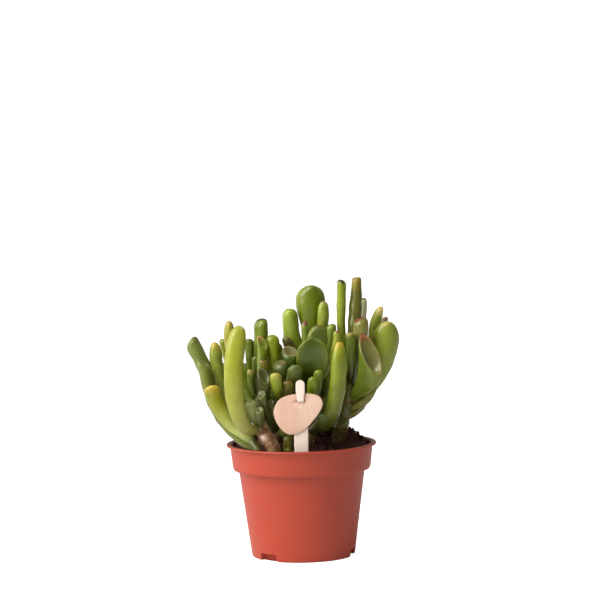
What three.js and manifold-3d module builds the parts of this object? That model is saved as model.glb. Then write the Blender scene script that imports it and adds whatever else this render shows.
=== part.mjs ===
// Potted hobbit jade: a Crassula ovata of the Hobbit form in a 9 cm nursery pot, with a blank wooden label.
// Millimetres, +Z up. The origin is the middle of the pot's underside, and the plant's front faces -Y.

import * as THREE from 'three';
import { mergeVertices } from 'three/addons/utils/BufferGeometryUtils.js';
import Module from 'manifold-3d';

const wasm = await Module();
wasm.setup();

// Driving dimensions

const GAP = 0.3; // clearance between pieces that touch on the real thing

const POT = {
  height: 68,
  wall: 1.1,
  lipRadius: 45,
  lipThickness: 1.3,
  lipRounding: 0.3,
  bandTopRadius: 42.9,
  bandFootRadius: 41.4,
  bandFootHeight: 53.6,
  bandHemWidth: 0.8,
  bandHemHeight: 1.6,
  bodyTopRadius: 37.9,
  bodyTopHeight: 50.4,
  baseRadius: 31,
  baseBevel: 0.6,
  footRingWidth: 2.6,
  floorUnderside: 3,
  middlePadRadius: 12,
  middlePadSlope: 1.5,
  segments: 40,
};

const NOTCH = {
  count: 3,
  firstTurn: -43, // degrees from the front, turning towards +X
  width: 12.5,
  height: 4.5,
  reach: 9,
};

const DRAIN_HOLE = {
  count: 6,
  radius: 3.5,
  circleRadius: 20,
  sides: 16,
};

const SOIL = {
  frontEdgeHeight: 60.5,
  rearEdgeHeight: 66.5,
  middleHeight: 67.5,
  rings: 6,
};

// The soil is banked up round the foot of the right-hand stem.
const BANK = {
  x: 27,
  y: 15,
  height: 7.8,
  spread: 8,
};

// Waves that make the soil uneven: height, phase per millimetre along X and Y, and phase at the middle.
const SOIL_WAVES = [
  [0.5, 0.42, 0.37, 0.7],
  [0.5, 0.42, -0.37, 1.9],
  [0.3, 0.23, -0.31, 0],
];

const LABEL = {
  stickWidth: 8.4,
  stickThickness: 1,
  stickBottom: 45,
  stickBevel: 1,
  shoulderHeight: 92.9,
  shoulderRise: 1.5,
  neckWidth: 4.1,
  neckTop: 100,
  tongueFlare: 2.5,
  tongueWidth: 5.3,
  tongueTop: 109.6,
  stepHeight: 2.2, // the stick passes from behind the card to its front over this height
  slotHeight: 96.4,
  slotOpening: 3.6,
  cardThickness: 0.8,
  cardY: -35, // the middle plane of the card
  cardCorners: 40,
};

// The card's rim as seen from the front, x and z, going round from its left end.
const CARD_RIM = [
  [-16, 90],
  [-12.6, 98],
  [-7, 100.6],
  [0, 101.3],
  [7, 101.1],
  [11.6, 99],
  [13, 95],
  [11.2, 90.6],
  [7, 85],
  [2.2, 80.4],
  [-3, 77.7],
  [-7.5, 77.5],
  [-11.4, 80.3],
  [-14.6, 85],
];

// Woody feet: points up the middle of each from inside the soil, and its radius.
const FEET = {
  foot_front_left: { points: [[-15, -27, 56], [-17.5, -27, 70], [-21.5, -26, 76.6]], radius: 4.4 },
  foot_centre: { points: [[-12, -14, 56], [-13.5, -14, 71.5]], radius: 3.2 },
  foot_middle: { points: [[5, -9, 56], [5, -9, 71.5]], radius: 3.1 },
  foot_right: { points: [[20, 2, 56], [23.5, 1, 75]], radius: 4.4 },
  foot_back: { points: [[6, 19, 56], [7, 18, 73]], radius: 3.1 },
  foot_back_left: { points: [[-22, 10, 56], [-23, 9, 72]], radius: 3.1 },
  foot_back_right: { points: [[20, 22, 56], [23, 21, 74]], radius: 3.1 },
  foot_rear: { points: [[-6, 29, 56], [-6, 30, 71]], radius: 3.1 },
};

// Leafy shoots: points up the stem, the stem's radius at its foot and top, and the leaves.
// A leaf is one row: where it leaves the stem as a share of the stem's length, its tip x, y and z,
// its lean from upright at the root and at the tip in degrees, its width, its thickness, its form,
// and the turn of its face.
const SHOOTS = {
  shoot_low_left: {
    stem: [[-23.1, -28, 56], [-25.5, -27.5, 65], [-28.5, -24.5, 71], [-34, -17, 77], [-40, -8, 85]],
    radii: [3.6, 2.2],
    leaves: [
      [0.4, -52.6, -23, 105.6, 52, 10, 9.8, 7, 'stub', 90],
      [0.27, -57, -16, 119, 66, 6, 9.4, 7.5, 'trumpet', 0],
      [0.96, -65.2, -4, 131.4, 40, 30, 9.8, 9, 'stub', 180],
      [0.88, -50.2, -6, 130, 30, -2, 9, 7.4, 'pointed', 0],
    ],
  },
  shoot_front_left: {
    stem: [[-21.7, -25.9, 77], [-23.4, -25.3, 80.5], [-24.4, -22, 94], [-24, -16, 108]],
    radii: [4.3, 2],
    leaves: [
      [0.14, -34, -35, 141.8, 116, -34, 11.6, 8, 'pointed', 54],
      [0.2, -29.4, -31, 97.2, 75, -5, 7.2, 7, 'stub', 180],
      [0.13, -24.2, -39, 93, 70, 0, 5.3, 5, 'trumpet', 180],
      [0.6, -21.2, -26.5, 111.5, 60, 0, 8.8, 8, 'gaping', 180],
      [0.82, -21.8, -18, 120.5, 40, 0, 5.5, 5.5, 'finger', 180],
      [0.65, -29.1, -22, 114.8, 50, -4, 4.8, 4.6, 'finger', 0],
      [0.45, -34, -14, 116, 60, 0, 7.5, 7, 'finger', 0],
      [0.95, -22, -10, 130, 20, 0, 7.6, 6.4, 'gaping', 60],
    ],
  },
  shoot_centre: {
    stem: [[-13.5, -14, 71.9], [-13.8, -13.9, 76], [-11, -11, 90], [-7, -7, 104]],
    radii: [3, 2],
    leaves: [
      [0.06, -23, -33.5, 101.6, 24, 14, 5.6, 5.6, 'trumpet', 180],
      [0.12, -8.5, -28, 84, 95, 0, 7, 6, 'finger', 0],
      [0.6, -14.4, -34.5, 114, 66, 12, 6.8, 6.6, 'finger', 0],
      [0.5, -7.1, -27, 108.5, 60, 0, 6.5, 5.5, 'finger', 180],
      [0.8, -11.7, -18, 118.5, 30, 5, 9.6, 8.6, 'stub', 180],
      [0.8, -2.8, -25, 117.5, 50, 0, 9, 7.5, 'finger', 0],
      [0.95, -5.6, -13, 124.8, 25, -6, 11, 10.5, 'trumpet', 180],
      [0.35, -15.8, -5, 133.5, 10, 0, 7.6, 6.6, 'finger', 0],
      [0.1, -25, -8, 100, 75, 0, 9.5, 8.5, 'finger', 0],
      [0.18, -29, -9, 79, 106, 60, 9, 8.5, 'finger', 0],
    ],
  },
  shoot_middle: {
    stem: [[5, -9, 71.9], [4.8, -8.6, 76], [4, -6, 90], [4, -3, 110]],
    radii: [3, 1.8],
    leaves: [
      [0.1, 13.5, -25, 88, 70, 0, 8, 6.5, 'finger', 0],
      [0.12, 23.4, -29, 131, 95, 0, 10.6, 9, 'tapered', 0],
      [0.05, 14, -10, 96, 60, 0, 8.5, 7, 'finger', 0],
      [0.4, 7.7, -27, 110.5, 70, 0, 7, 6, 'finger', 0],
      [0.5, 11, -22, 114, 60, 0, 6, 5, 'finger', 0],
      [0.7, 8.6, -19, 133, 50, 8, 19.8, 7, 'cupped', 160],
      [0.95, 3.6, 0, 141.2, 10, 0, 4.5, 4, 'pointed', 0],
      [0.6, 11.5, -4, 139, 30, 0, 14, 8, 'paddle', 90],
      [0.3, 17, -1, 124, 60, 0, 9, 8, 'finger', 0],
      [0.8, 19.2, -4, 139.4, 40, 0, 6.5, 6, 'finger', 0],
      [0.7, 22.5, -14, 136.5, 50, 0, 5, 4.5, 'finger', 0],
    ],
  },
  shoot_right: {
    stem: [[23.7, 1, 75.6], [28, -2, 92], [30, -2, 104], [30.3, -1, 114]],
    radii: [4.4, 3.2],
    leaves: [
      [0.15, 38, 2, 91, 60, 50, 8, 6, 'finger', 0],
      [0.3, 43.5, -2, 101, 80, 30, 10, 7, 'finger', 0],
      [0.4, 53.2, 2, 139.8, 75, 2, 17, 7.5, 'paddle', -80],
      [0.46, 42.4, -14, 122, 62, 8, 17, 11, 'ear', 106],
      [0.7, 30.3, -11, 134.6, 50, 0, 7.5, 7, 'finger', 0],
      [0.9, 26, 0, 165.5, 20, 0, 6, 5.4, 'finger', 0],
      [0.98, 35, 3, 166.4, 8, 1, 7.8, 7.4, 'post', 0],
      [0.9, 37, -6, 143, 20, 0, 9.6, 9.2, 'finger', 90],
    ],
  },
  shoot_back: {
    stem: [[7, 18, 73.4], [8, 16, 92], [8, 12, 112]],
    radii: [2.9, 1.8],
    leaves: [
      [0.95, -7.4, 4, 131.5, 50, 0, 6, 6, 'finger', 0],
      [0.9, -5, 12, 147.7, 38, -6, 9.8, 8.6, 'finger', 90],
      [0.95, 14.7, 4.5, 152.5, 30, 0, 7.4, 6.4, 'pointed', 0],
      [0.95, 7.6, 15, 161.5, 5, 2, 18.5, 8, 'paddle', 180],
      [0.12, 22, 10, 80, 105, 45, 9.5, 9.5, 'finger', 0],
      [0.22, 15, 30, 104, 70, 5, 10, 8, 'finger', 0],
      [0.2, -16, 4, 104, 75, 0, 9, 8, 'finger', 0],
      [0.6, 18, 13, 122, 50, 0, 7, 6, 'finger', 0],
    ],
  },
  shoot_back_left: {
    stem: [[-23, 9, 72.4], [-26, 6, 92], [-27, 3, 108]],
    radii: [2.9, 1.8],
    leaves: [
      [0.5, -46.2, 14, 130, 50, 10, 5.5, 5, 'finger', 0],
      [0.7, -41.6, 4, 141.8, 50, -4, 7.8, 6.6, 'pointed', 0],
      [0.8, -29.8, -4, 131.5, 40, 0, 5.6, 5.6, 'finger', 0],
      [0.8, -26.5, -6, 121, 40, 0, 4.5, 4.5, 'finger', 0],
      [0.95, -23, 6, 142.5, 20, 0, 9.4, 8, 'finger', 0],
      [0.2, -47, 34, 112, 75, 8, 9.5, 8, 'trumpet', 0],
      [0.35, -34, 42, 112, 75, 2, 10, 8, 'finger', 0],
      [0.6, -21, 34, 125, 65, -4, 9, 7.5, 'trumpet', 0],
      [0.25, -50, 17, 106, 75, 12, 9, 7.5, 'trumpet', 0],
      [0.7, -38, 20, 113, 60, 0, 8, 7, 'trumpet', 0],
      [0.14, -33, 5, 113, 50, 0, 9, 8, 'finger', 0],
      [0.45, -18, 12, 118, 60, 0, 8, 7, 'finger', 0],
    ],
  },
  shoot_back_right: {
    stem: [[23.1, 21, 74.4], [24.4, 20.8, 79], [30, 19, 90], [35, 15, 110]],
    radii: [2.9, 1.8],
    leaves: [
      [0.9, 39.2, 19, 152.8, 12, 2, 5, 4.4, 'finger', 0],
      [0.8, 50.2, 20, 147.4, 50, 30, 8.6, 7, 'tapered', 0],
      [0.6, 52.6, 26, 140.5, 50, 8, 4.5, 4, 'finger', 0],
      [0.35, 44, 42, 112, 65, 8, 9, 7.5, 'trumpet', 0],
      [0.5, 26, 46, 124, 70, 0, 9.5, 8, 'finger', 0],
      [0.7, 40, 34, 125, 50, 0, 8.5, 7, 'trumpet', 0],
      [0.12, 29, 41, 98, 80, 10, 8.5, 7, 'finger', 0],
      [0.25, 40, 28, 110, 60, 5, 8.5, 7, 'trumpet', 0],
    ],
  },
  shoot_rear: {
    stem: [[-6, 30, 71.4], [-5, 30, 92], [-4, 27, 112]],
    radii: [2.9, 1.8],
    leaves: [
      [0.2, -16, 54, 104, 80, 4, 9, 7.5, 'trumpet', 0],
      [0.4, 6, 56, 118, 75, -2, 9.5, 8, 'finger', 0],
      [0.7, 11, 42, 136, 50, -4, 8.5, 7, 'trumpet', 0],
      [0.95, -6, 32, 135, 20, 0, 8, 7, 'finger', 0],
      [0.18, 14, 46, 96, 85, 10, 8, 7, 'finger', 0],
      [0.1, -22, 44, 92, 85, 15, 7.5, 6.5, 'finger', 0],
      [0.08, -1, 53, 91, 85, 20, 7.5, 6.5, 'trumpet', 0],
      [0.8, -14, 26, 127, 40, 0, 7, 6, 'trumpet', 0],
    ],
  },
};

// Leaf forms, as shares of the width unless said otherwise.
// foot: width at the root; flare: how late the leaf widens; widest: where along the leaf it is widest;
// dome: length of the rounded end, or 0 on a flat leaf; mouth: radius left open at the tip;
// cup: how deep the mouth dips; slant and skew: how far the mouth leans to the inner face and to one edge,
// from slantFrom along the leaf; curl: how far the edges bend up.
const FORMS = {
  finger: {
    sides: 7,
    foot: 0.5,
    flare: 1,
    widest: 0.8,
    dome: 0.42,
    mouth: 0.35,
    cup: 0.2,
    slant: 0.25,
    skew: 0,
    slantFrom: 0.7,
    curl: 0,
  },
  pointed: {
    sides: 7,
    foot: 0.5,
    flare: 1,
    widest: 0.8,
    dome: 0.95,
    mouth: 0.25,
    cup: 0.2,
    slant: 0.2,
    skew: 0,
    slantFrom: 0.7,
    curl: 0,
  },
  tapered: {
    sides: 7,
    foot: 0.5,
    flare: 1,
    widest: 0.8,
    dome: 1.5,
    mouth: 0.25,
    cup: 0.2,
    slant: 0.2,
    skew: 0,
    slantFrom: 0.7,
    curl: 0,
  },
  post: {
    sides: 7,
    foot: 0.5,
    flare: 1,
    widest: 0.8,
    dome: 3,
    mouth: 0.66,
    cup: 0.1,
    slant: 0.15,
    skew: 0,
    slantFrom: 0.7,
    curl: 0,
  },
  stub: {
    sides: 7,
    foot: 0.5,
    flare: 1,
    widest: 0.95,
    dome: 0.3,
    mouth: 0.5,
    cup: 0.15,
    slant: 0.4,
    skew: 0,
    slantFrom: 0.7,
    curl: 0,
  },
  trumpet: {
    sides: 7,
    foot: 0.45,
    flare: 1,
    widest: 0.95,
    dome: 0.2,
    mouth: 0.74,
    cup: 0.45,
    slant: 0.75,
    skew: 0,
    slantFrom: 0.7,
    curl: 0,
  },
  gaping: {
    sides: 8,
    foot: 0.45,
    flare: 1,
    widest: 0.95,
    dome: 0.2,
    mouth: 0.7,
    cup: 0.8,
    slant: 1.5,
    skew: 0,
    slantFrom: 0.6,
    curl: 0,
  },
  ear: {
    sides: 10,
    foot: 0.25,
    flare: 1.2,
    widest: 1,
    dome: 0.06,
    mouth: 0.88,
    cup: 0.9,
    slant: 0.95,
    skew: -1.25,
    slantFrom: 0,
    curl: 0,
  },
  spoon: {
    sides: 8,
    foot: 0.3,
    flare: 1.5,
    widest: 0.66,
    dome: 0,
    mouth: 0,
    cup: 0,
    slant: 0,
    skew: 0,
    slantFrom: 0,
    curl: 0.22,
  },
  paddle: {
    sides: 8,
    foot: 0.35,
    flare: 2.2,
    widest: 0.8,
    dome: 0,
    mouth: 0,
    cup: 0,
    slant: 0,
    skew: 0,
    slantFrom: 0,
    curl: 0.22,
  },
  cupped: {
    sides: 9,
    foot: 0.3,
    flare: 1.5,
    widest: 0.7,
    dome: 0,
    mouth: 0,
    cup: 0,
    slant: 0,
    skew: 0,
    slantFrom: 0,
    curl: 0.42,
  },
};

const STEM_SIDES = 8;
const FOOT_STEPS = 3;
const SHOOT_STEPS = 5;
const FOOT_TAPER = 0.92;
const BODY_STATIONS = 5;
const DOME_STATIONS = 2;
const FLAT_END_STATIONS = 4;
const ROOT_REACH = 1.25; // pull of the lean at the root on the midrib, in chords
const ROOT_CROWDING = 1.3; // stations stand closer together near the root, where a leaf bends most
const CUP_RING = 0.6; // radius of the ring inside the mouth, as a share of the mouth
const CURL_BY = 0.5; // share of the leaf where a flat leaf's edges are fully bent

// Materials

const plastic = new THREE.MeshStandardMaterial({ color: 0xb9573c, roughness: 0.5, metalness: 0 });
const peat = new THREE.MeshStandardMaterial({ color: 0x1d1611, roughness: 1, metalness: 0 });
const bark = new THREE.MeshStandardMaterial({ color: 0x73533d, roughness: 0.85, metalness: 0 });
const leafSkin = new THREE.MeshStandardMaterial({ color: 0x6f8f31, roughness: 0.35, metalness: 0 });
const birch = new THREE.MeshStandardMaterial({ color: 0xe9cbb0, roughness: 0.7, metalness: 0 });

// Solids and meshes

function toSolid(geometry) {
  const bare = geometry.index ? geometry.toNonIndexed() : geometry.clone();
  bare.deleteAttribute('normal');
  bare.deleteAttribute('uv');
  const merged = mergeVertices(bare, 1e-4);
  const triangles = [];
  for (let i = 0; i < merged.index.count; i += 3) {
    const [a, b, c] = [0, 1, 2].map((corner) => merged.index.getX(i + corner));
    if (a !== b && b !== c && c !== a) {
      triangles.push(a, b, c);
    }
  }
  return new wasm.Manifold(
    new wasm.Mesh({
      numProp: 3,
      vertProperties: new Float32Array(merged.attributes.position.array),
      triVerts: new Uint32Array(triangles),
    }),
  );
}

function toMesh(name, solid, material) {
  const { vertProperties, triVerts } = solid.getMesh();
  const geometry = new THREE.BufferGeometry();
  geometry.setAttribute('position', new THREE.BufferAttribute(vertProperties, 3));
  geometry.setIndex(new THREE.BufferAttribute(triVerts, 1));
  geometry.computeVertexNormals();
  const mesh = new THREE.Mesh(geometry, material);
  mesh.name = name;
  return mesh;
}

function joined(solids) {
  return solids.reduce((sum, solid) => sum.add(solid));
}

// Small hollows that leaves close off between them are filled.
function filled(solid) {
  return joined(solid.decompose().filter((shell) => shell.volume() > 0));
}

// A profile of radius and height turned about the upright axis.
function turned(profile, segments) {
  const points = profile.map(([radius, height]) => new THREE.Vector2(radius, height));
  return new THREE.LatheGeometry(points, segments).rotateX(Math.PI / 2);
}

// Rings of equal count joined side by side, with a fan at each end.
function skin(rings, firstMiddle, lastMiddle) {
  const sides = rings[0].length;
  const corners = [...rings.flat(), firstMiddle, lastMiddle];
  const first = corners.length - 2;
  const last = corners.length - 1;
  const lastRing = (rings.length - 1) * sides;
  const index = [];
  for (let side = 0; side < sides; side++) {
    const next = (side + 1) % sides;
    for (let ring = 0; ring < rings.length - 1; ring++) {
      const low = ring * sides;
      const high = low + sides;
      index.push(low + side, low + next, high + next);
      index.push(low + side, high + next, high + side);
    }
    index.push(first, next, side);
    index.push(last, lastRing + side, lastRing + next);
  }
  const geometry = new THREE.BufferGeometry();
  geometry.setAttribute('position', new THREE.Float32BufferAttribute(corners.flatMap((p) => p.toArray()), 3));
  geometry.setIndex(index);
  return geometry;
}

// Pot

function innerWall() {
  return [
    [POT.baseRadius - POT.wall, POT.floorUnderside + POT.wall],
    [POT.bodyTopRadius - POT.wall, POT.bodyTopHeight + POT.wall / 2],
    [POT.bandFootRadius - POT.wall, POT.bandFootHeight + POT.wall],
    [POT.bandTopRadius - POT.wall, POT.height],
  ];
}

function potProfile() {
  const lipFoot = POT.height - POT.lipThickness;
  const channelRadius = POT.middlePadRadius + POT.middlePadSlope;
  const ringRadius = POT.baseRadius - POT.footRingWidth;
  return [
    [0, 0],
    [POT.middlePadRadius, 0],
    [channelRadius, POT.floorUnderside],
    [ringRadius, POT.floorUnderside],
    [ringRadius, 0],
    [POT.baseRadius - POT.baseBevel, 0],
    [POT.baseRadius, POT.baseBevel],
    [POT.bodyTopRadius, POT.bodyTopHeight],
    [POT.bandFootRadius - POT.bandHemWidth, POT.bandFootHeight - POT.bandHemHeight],
    [POT.bandFootRadius, POT.bandFootHeight],
    [POT.bandTopRadius, lipFoot],
    [POT.lipRadius - POT.lipRounding, lipFoot],
    [POT.lipRadius, POT.height - POT.lipThickness / 2],
    [POT.lipRadius - POT.lipRounding, POT.height],
    ...innerWall().reverse(),
    [channelRadius, POT.floorUnderside + POT.wall],
    [POT.middlePadRadius, POT.wall],
    [0, POT.wall],
  ];
}

function pot() {
  let solid = toSolid(turned(potProfile(), POT.segments));
  for (let i = 0; i < NOTCH.count; i++) {
    const turn = THREE.MathUtils.degToRad(NOTCH.firstTurn + (360 / NOTCH.count) * i);
    const notch = new THREE.BoxGeometry(NOTCH.width, NOTCH.reach, 2 * NOTCH.height);
    notch.translate(0, -POT.baseRadius, 0);
    notch.rotateZ(turn);
    solid = solid.subtract(toSolid(notch));
  }
  for (let i = 0; i < DRAIN_HOLE.count; i++) {
    const { radius, sides } = DRAIN_HOLE;
    const hole = new THREE.CylinderGeometry(radius, radius, 4 * POT.wall, sides);
    hole.rotateX(Math.PI / 2);
    hole.translate(DRAIN_HOLE.circleRadius, 0, POT.floorUnderside + POT.wall / 2);
    hole.rotateZ((2 * Math.PI * (i + 0.5)) / DRAIN_HOLE.count);
    solid = solid.subtract(toSolid(hole));
  }
  return toMesh('pot', solid, plastic);
}

// Soil: it fills the pot up to a low uneven heap, with a plain hole for each stem and for the label's stick.

function smooth(share) {
  const x = THREE.MathUtils.clamp(share, 0, 1);
  return x * x * (3 - 2 * x);
}

function soilHeight(x, y, edgeRadius) {
  const share = Math.hypot(x, y) / edgeRadius;
  const towardsRear = smooth((y + edgeRadius) / (2 * edgeRadius));
  const edgeHeight = THREE.MathUtils.lerp(SOIL.frontEdgeHeight, SOIL.rearEdgeHeight, towardsRear);
  const fromBank = Math.hypot(x - BANK.x, y - BANK.y) / BANK.spread;
  let height = THREE.MathUtils.lerp(SOIL.middleHeight, edgeHeight, share * share);
  height += BANK.height * Math.exp(-0.5 * fromBank * fromBank);
  for (const [wave, alongX, alongY, phase] of SOIL_WAVES) {
    height += wave * Math.sin(alongX * x + alongY * y + phase);
  }
  return height;
}

function soil(stemHoles, stickHole) {
  const wall = innerWall().map(([radius, height]) => [radius - GAP, height + GAP]);
  const [bandRadius, bandHeight] = wall[2];
  const profile = [[0, wall[0][1]], ...wall.slice(0, 3)];
  for (let i = 0; i <= SOIL.rings; i++) {
    profile.push([bandRadius * (1 - i / SOIL.rings), SOIL.middleHeight]);
  }
  const geometry = turned(profile, POT.segments);
  const position = geometry.attributes.position;
  for (let i = 0; i < position.count; i++) {
    if (position.getZ(i) > bandHeight + GAP) {
      position.setZ(i, soilHeight(position.getX(i), position.getY(i), bandRadius));
    }
  }
  let solid = toSolid(geometry);
  for (const hole of [...stemHoles, stickHole]) {
    solid = solid.subtract(hole);
  }
  return toMesh('soil', solid, peat);
}

// Stems: a round tube along a smooth line, tapering from one radius to the other.

function stemLine(points) {
  return new THREE.CatmullRomCurve3(points.map((point) => new THREE.Vector3(...point)), false, 'chordal');
}

function stemSolid(points, footRadius, topRadius, steps) {
  const line = stemLine(points);
  const rings = [];
  for (let i = 0; i <= steps; i++) {
    const share = i / steps;
    const middle = line.getPointAt(share);
    const along = line.getTangentAt(share);
    const across = new THREE.Vector3(0, 1, 0).cross(along).normalize();
    const forward = along.clone().cross(across);
    const radius = footRadius + (topRadius - footRadius) * share;
    const ring = [];
    for (let side = 0; side < STEM_SIDES; side++) {
      const angle = (2 * Math.PI * side) / STEM_SIDES;
      const point = middle.clone().addScaledVector(across, radius * Math.cos(angle));
      ring.push(point.addScaledVector(forward, radius * Math.sin(angle)));
    }
    rings.push(ring);
  }
  return toSolid(skin(rings, line.getPointAt(0), line.getPointAt(1)));
}

function foot(name, { points, radius }) {
  return toMesh(name, stemSolid(points, radius, FOOT_TAPER * radius, FOOT_STEPS), bark);
}

function footHole({ points, radius }) {
  return stemSolid(points, radius + GAP, radius + GAP, FOOT_STEPS);
}

// Leaves

// Stations along a leaf: the share of the midrib and the share of the full width there.
function leafStations(form, width, chord) {
  const shape = FORMS[form];
  const flat = shape.dome === 0;
  const widest = flat ? shape.widest : 1 - (shape.dome * width) / chord;
  const body = [];
  for (let i = 0; i < BODY_STATIONS; i++) {
    const at = widest * (i / (BODY_STATIONS - 1)) ** ROOT_CROWDING;
    const fullWidthAt = flat ? widest : widest * shape.widest;
    const swell = Math.sin((Math.PI / 2) * Math.min(1, at / fullWidthAt) ** shape.flare);
    body.push([at, shape.foot + (1 - shape.foot) * swell]);
  }
  const count = flat ? FLAT_END_STATIONS : DOME_STATIONS;
  const lastAngle = Math.acos(shape.mouth);
  for (let i = 1; i <= count; i++) {
    const angle = (lastAngle * i) / count;
    body.push([widest + ((1 - widest) * Math.sin(angle)) / Math.sin(lastAngle), Math.cos(angle)]);
  }
  return body;
}

// The midrib is a cubic in the upright plane that holds the root and the tip; the two leans set its ends.
function leafMidrib(root, tip, leanRoot, leanTip) {
  const run = tip.clone().sub(root);
  const chord = run.length();
  const heading = new THREE.Vector3(run.x, run.y, 0).normalize();
  const up = new THREE.Vector3(0, 0, 1);
  const pull = (lean, reach) => {
    const angle = THREE.MathUtils.degToRad(lean);
    const direction = heading.clone().multiplyScalar(Math.sin(angle)).addScaledVector(up, Math.cos(angle));
    return direction.multiplyScalar((reach * chord) / 3);
  };
  const line = new THREE.CubicBezierCurve3(
    root,
    root.clone().add(pull(leanRoot, ROOT_REACH)),
    tip.clone().sub(pull(leanTip, 1)),
    tip,
  );
  return { line, chord, side: up.clone().cross(heading) };
}

// The section is an ellipse, with its edges bent up on a flat leaf.
// The mouth of a rolled leaf slants and dips.
function leafSolid(root, [, x, y, z, leanRoot, leanTip, width, thickness, form, turn]) {
  const shape = FORMS[form];
  const tip = new THREE.Vector3(x, y, z);
  const { line, chord, side } = leafMidrib(root, tip, leanRoot, leanTip);
  const stations = leafStations(form, width, chord);
  const faceTurn = THREE.MathUtils.degToRad(turn);

  const ringAt = (share, spread, dip) => {
    const along = line.getTangent(share);
    const face = along.clone().cross(side);
    const across = side.clone().multiplyScalar(Math.cos(faceTurn)).addScaledVector(face, Math.sin(faceTurn));
    const inward = face.clone().multiplyScalar(Math.cos(faceTurn)).addScaledVector(side, -Math.sin(faceTurn));
    const middle = line.getPoint(share);
    const halfWidth = (width / 2) * spread;
    const halfThickness = (thickness / 2) * (shape.dome === 0 ? Math.sqrt(spread) : spread);
    const bend = shape.curl * smooth(share / CURL_BY) * halfWidth;
    const leaning = smooth((share - shape.slantFrom) / (1 - shape.slantFrom));
    const ring = [];
    for (let i = 0; i < shape.sides; i++) {
      const turnRound = (2 * Math.PI * i) / shape.sides;
      const sideways = halfWidth * Math.cos(turnRound);
      const outOfFace = halfThickness * Math.sin(turnRound) + bend * Math.cos(turnRound) ** 2;
      const point = middle.clone().addScaledVector(across, sideways).addScaledVector(inward, outOfFace);
      const fall = leaning * (shape.slant * outOfFace + shape.skew * sideways);
      ring.push(point.addScaledVector(along, -fall - dip));
    }
    return ring;
  };

  const rings = stations.map(([share, spread]) => ringAt(share, spread, 0));
  const end = line.getPoint(1);
  if (shape.mouth > 0) {
    const depth = shape.cup * shape.mouth * (width / 2);
    rings.push(ringAt(1, shape.mouth * CUP_RING, depth * (1 - CUP_RING ** 2)));
    end.addScaledVector(line.getTangent(1), -depth);
  } else {
    rings.pop();
  }
  return toSolid(skin(rings, root, end));
}

function shoot(name, { stem, radii, leaves }) {
  const line = stemLine(stem);
  const solids = [stemSolid(stem, radii[0], radii[1], SHOOT_STEPS)];
  for (const leaf of leaves) {
    solids.push(leafSolid(line.getPointAt(leaf[0]), leaf));
  }
  return toMesh(name, filled(joined(solids)), leafSkin);
}

// Label: the stick stands behind the card, steps forward through a slot and ends in a tongue in front of it.

function stickSide() {
  const behind = LABEL.cardY + LABEL.cardThickness / 2 + GAP;
  const ahead = LABEL.cardY - LABEL.cardThickness / 2 - GAP;
  const thick = LABEL.stickThickness;
  const low = LABEL.slotHeight - LABEL.stepHeight / 2;
  const high = LABEL.slotHeight + LABEL.stepHeight / 2;
  const outline = [
    [behind, LABEL.stickBottom],
    [behind + thick, LABEL.stickBottom],
    [behind + thick, low + thick / 2],
    [ahead, high + thick / 2],
    [ahead, LABEL.tongueTop],
    [ahead - thick, LABEL.tongueTop],
    [ahead - thick, high - thick / 2],
    [behind, low - thick / 2],
  ];
  const shape = new THREE.Shape(outline.map(([y, z]) => new THREE.Vector2(y, z)));
  const geometry = new THREE.ExtrudeGeometry(shape, { depth: 2 * LABEL.stickWidth, bevelEnabled: false });
  // the outline's first axis becomes Y and its second Z
  geometry.translate(0, 0, -LABEL.stickWidth);
  geometry.rotateX(Math.PI / 2);
  geometry.rotateZ(Math.PI / 2);
  return toSolid(geometry);
}

function stickFront() {
  const half = LABEL.stickWidth / 2;
  const neck = LABEL.neckWidth / 2;
  const tongue = LABEL.tongueWidth / 2;
  const flareTop = LABEL.neckTop + LABEL.tongueFlare;
  const roundFoot = LABEL.tongueTop - tongue;
  const shape = new THREE.Shape();
  shape.moveTo(-half + LABEL.stickBevel, LABEL.stickBottom);
  shape.lineTo(half - LABEL.stickBevel, LABEL.stickBottom);
  shape.lineTo(half, LABEL.stickBottom + 3 * LABEL.stickBevel);
  shape.lineTo(half, LABEL.shoulderHeight);
  shape.lineTo(neck, LABEL.shoulderHeight + LABEL.shoulderRise);
  shape.lineTo(neck, LABEL.neckTop);
  shape.quadraticCurveTo(tongue, flareTop, tongue, roundFoot);
  shape.absarc(0, roundFoot, tongue, 0, Math.PI);
  shape.quadraticCurveTo(-tongue, flareTop, -neck, LABEL.neckTop);
  shape.lineTo(-neck, LABEL.shoulderHeight + LABEL.shoulderRise);
  shape.lineTo(-half, LABEL.shoulderHeight);
  shape.lineTo(-half, LABEL.stickBottom + 3 * LABEL.stickBevel);
  const depth = 8 * LABEL.stickThickness;
  const geometry = new THREE.ExtrudeGeometry(shape, { depth, bevelEnabled: false, curveSegments: 6 });
  geometry.rotateX(Math.PI / 2);
  geometry.translate(0, LABEL.cardY + depth / 2, 0);
  return toSolid(geometry);
}

function labelStick() {
  return toMesh('label_stick', stickSide().intersect(stickFront()), birch);
}

function labelCard() {
  const rim = new THREE.CatmullRomCurve3(CARD_RIM.map(([x, z]) => new THREE.Vector3(x, z, 0)), true);
  const corners = rim.getSpacedPoints(LABEL.cardCorners).slice(0, -1);
  const shape = new THREE.Shape(corners.map((p) => new THREE.Vector2(p.x, p.y)));
  const geometry = new THREE.ExtrudeGeometry(shape, { depth: LABEL.cardThickness, bevelEnabled: false });
  geometry.rotateX(Math.PI / 2);
  geometry.translate(0, LABEL.cardY + LABEL.cardThickness / 2, 0);
  const slot = new THREE.BoxGeometry(LABEL.neckWidth + 2 * GAP, 4 * LABEL.cardThickness, LABEL.slotOpening);
  slot.translate(0, LABEL.cardY, LABEL.slotHeight);
  return toMesh('label_card', toSolid(geometry).subtract(toSolid(slot)), birch);
}

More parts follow.
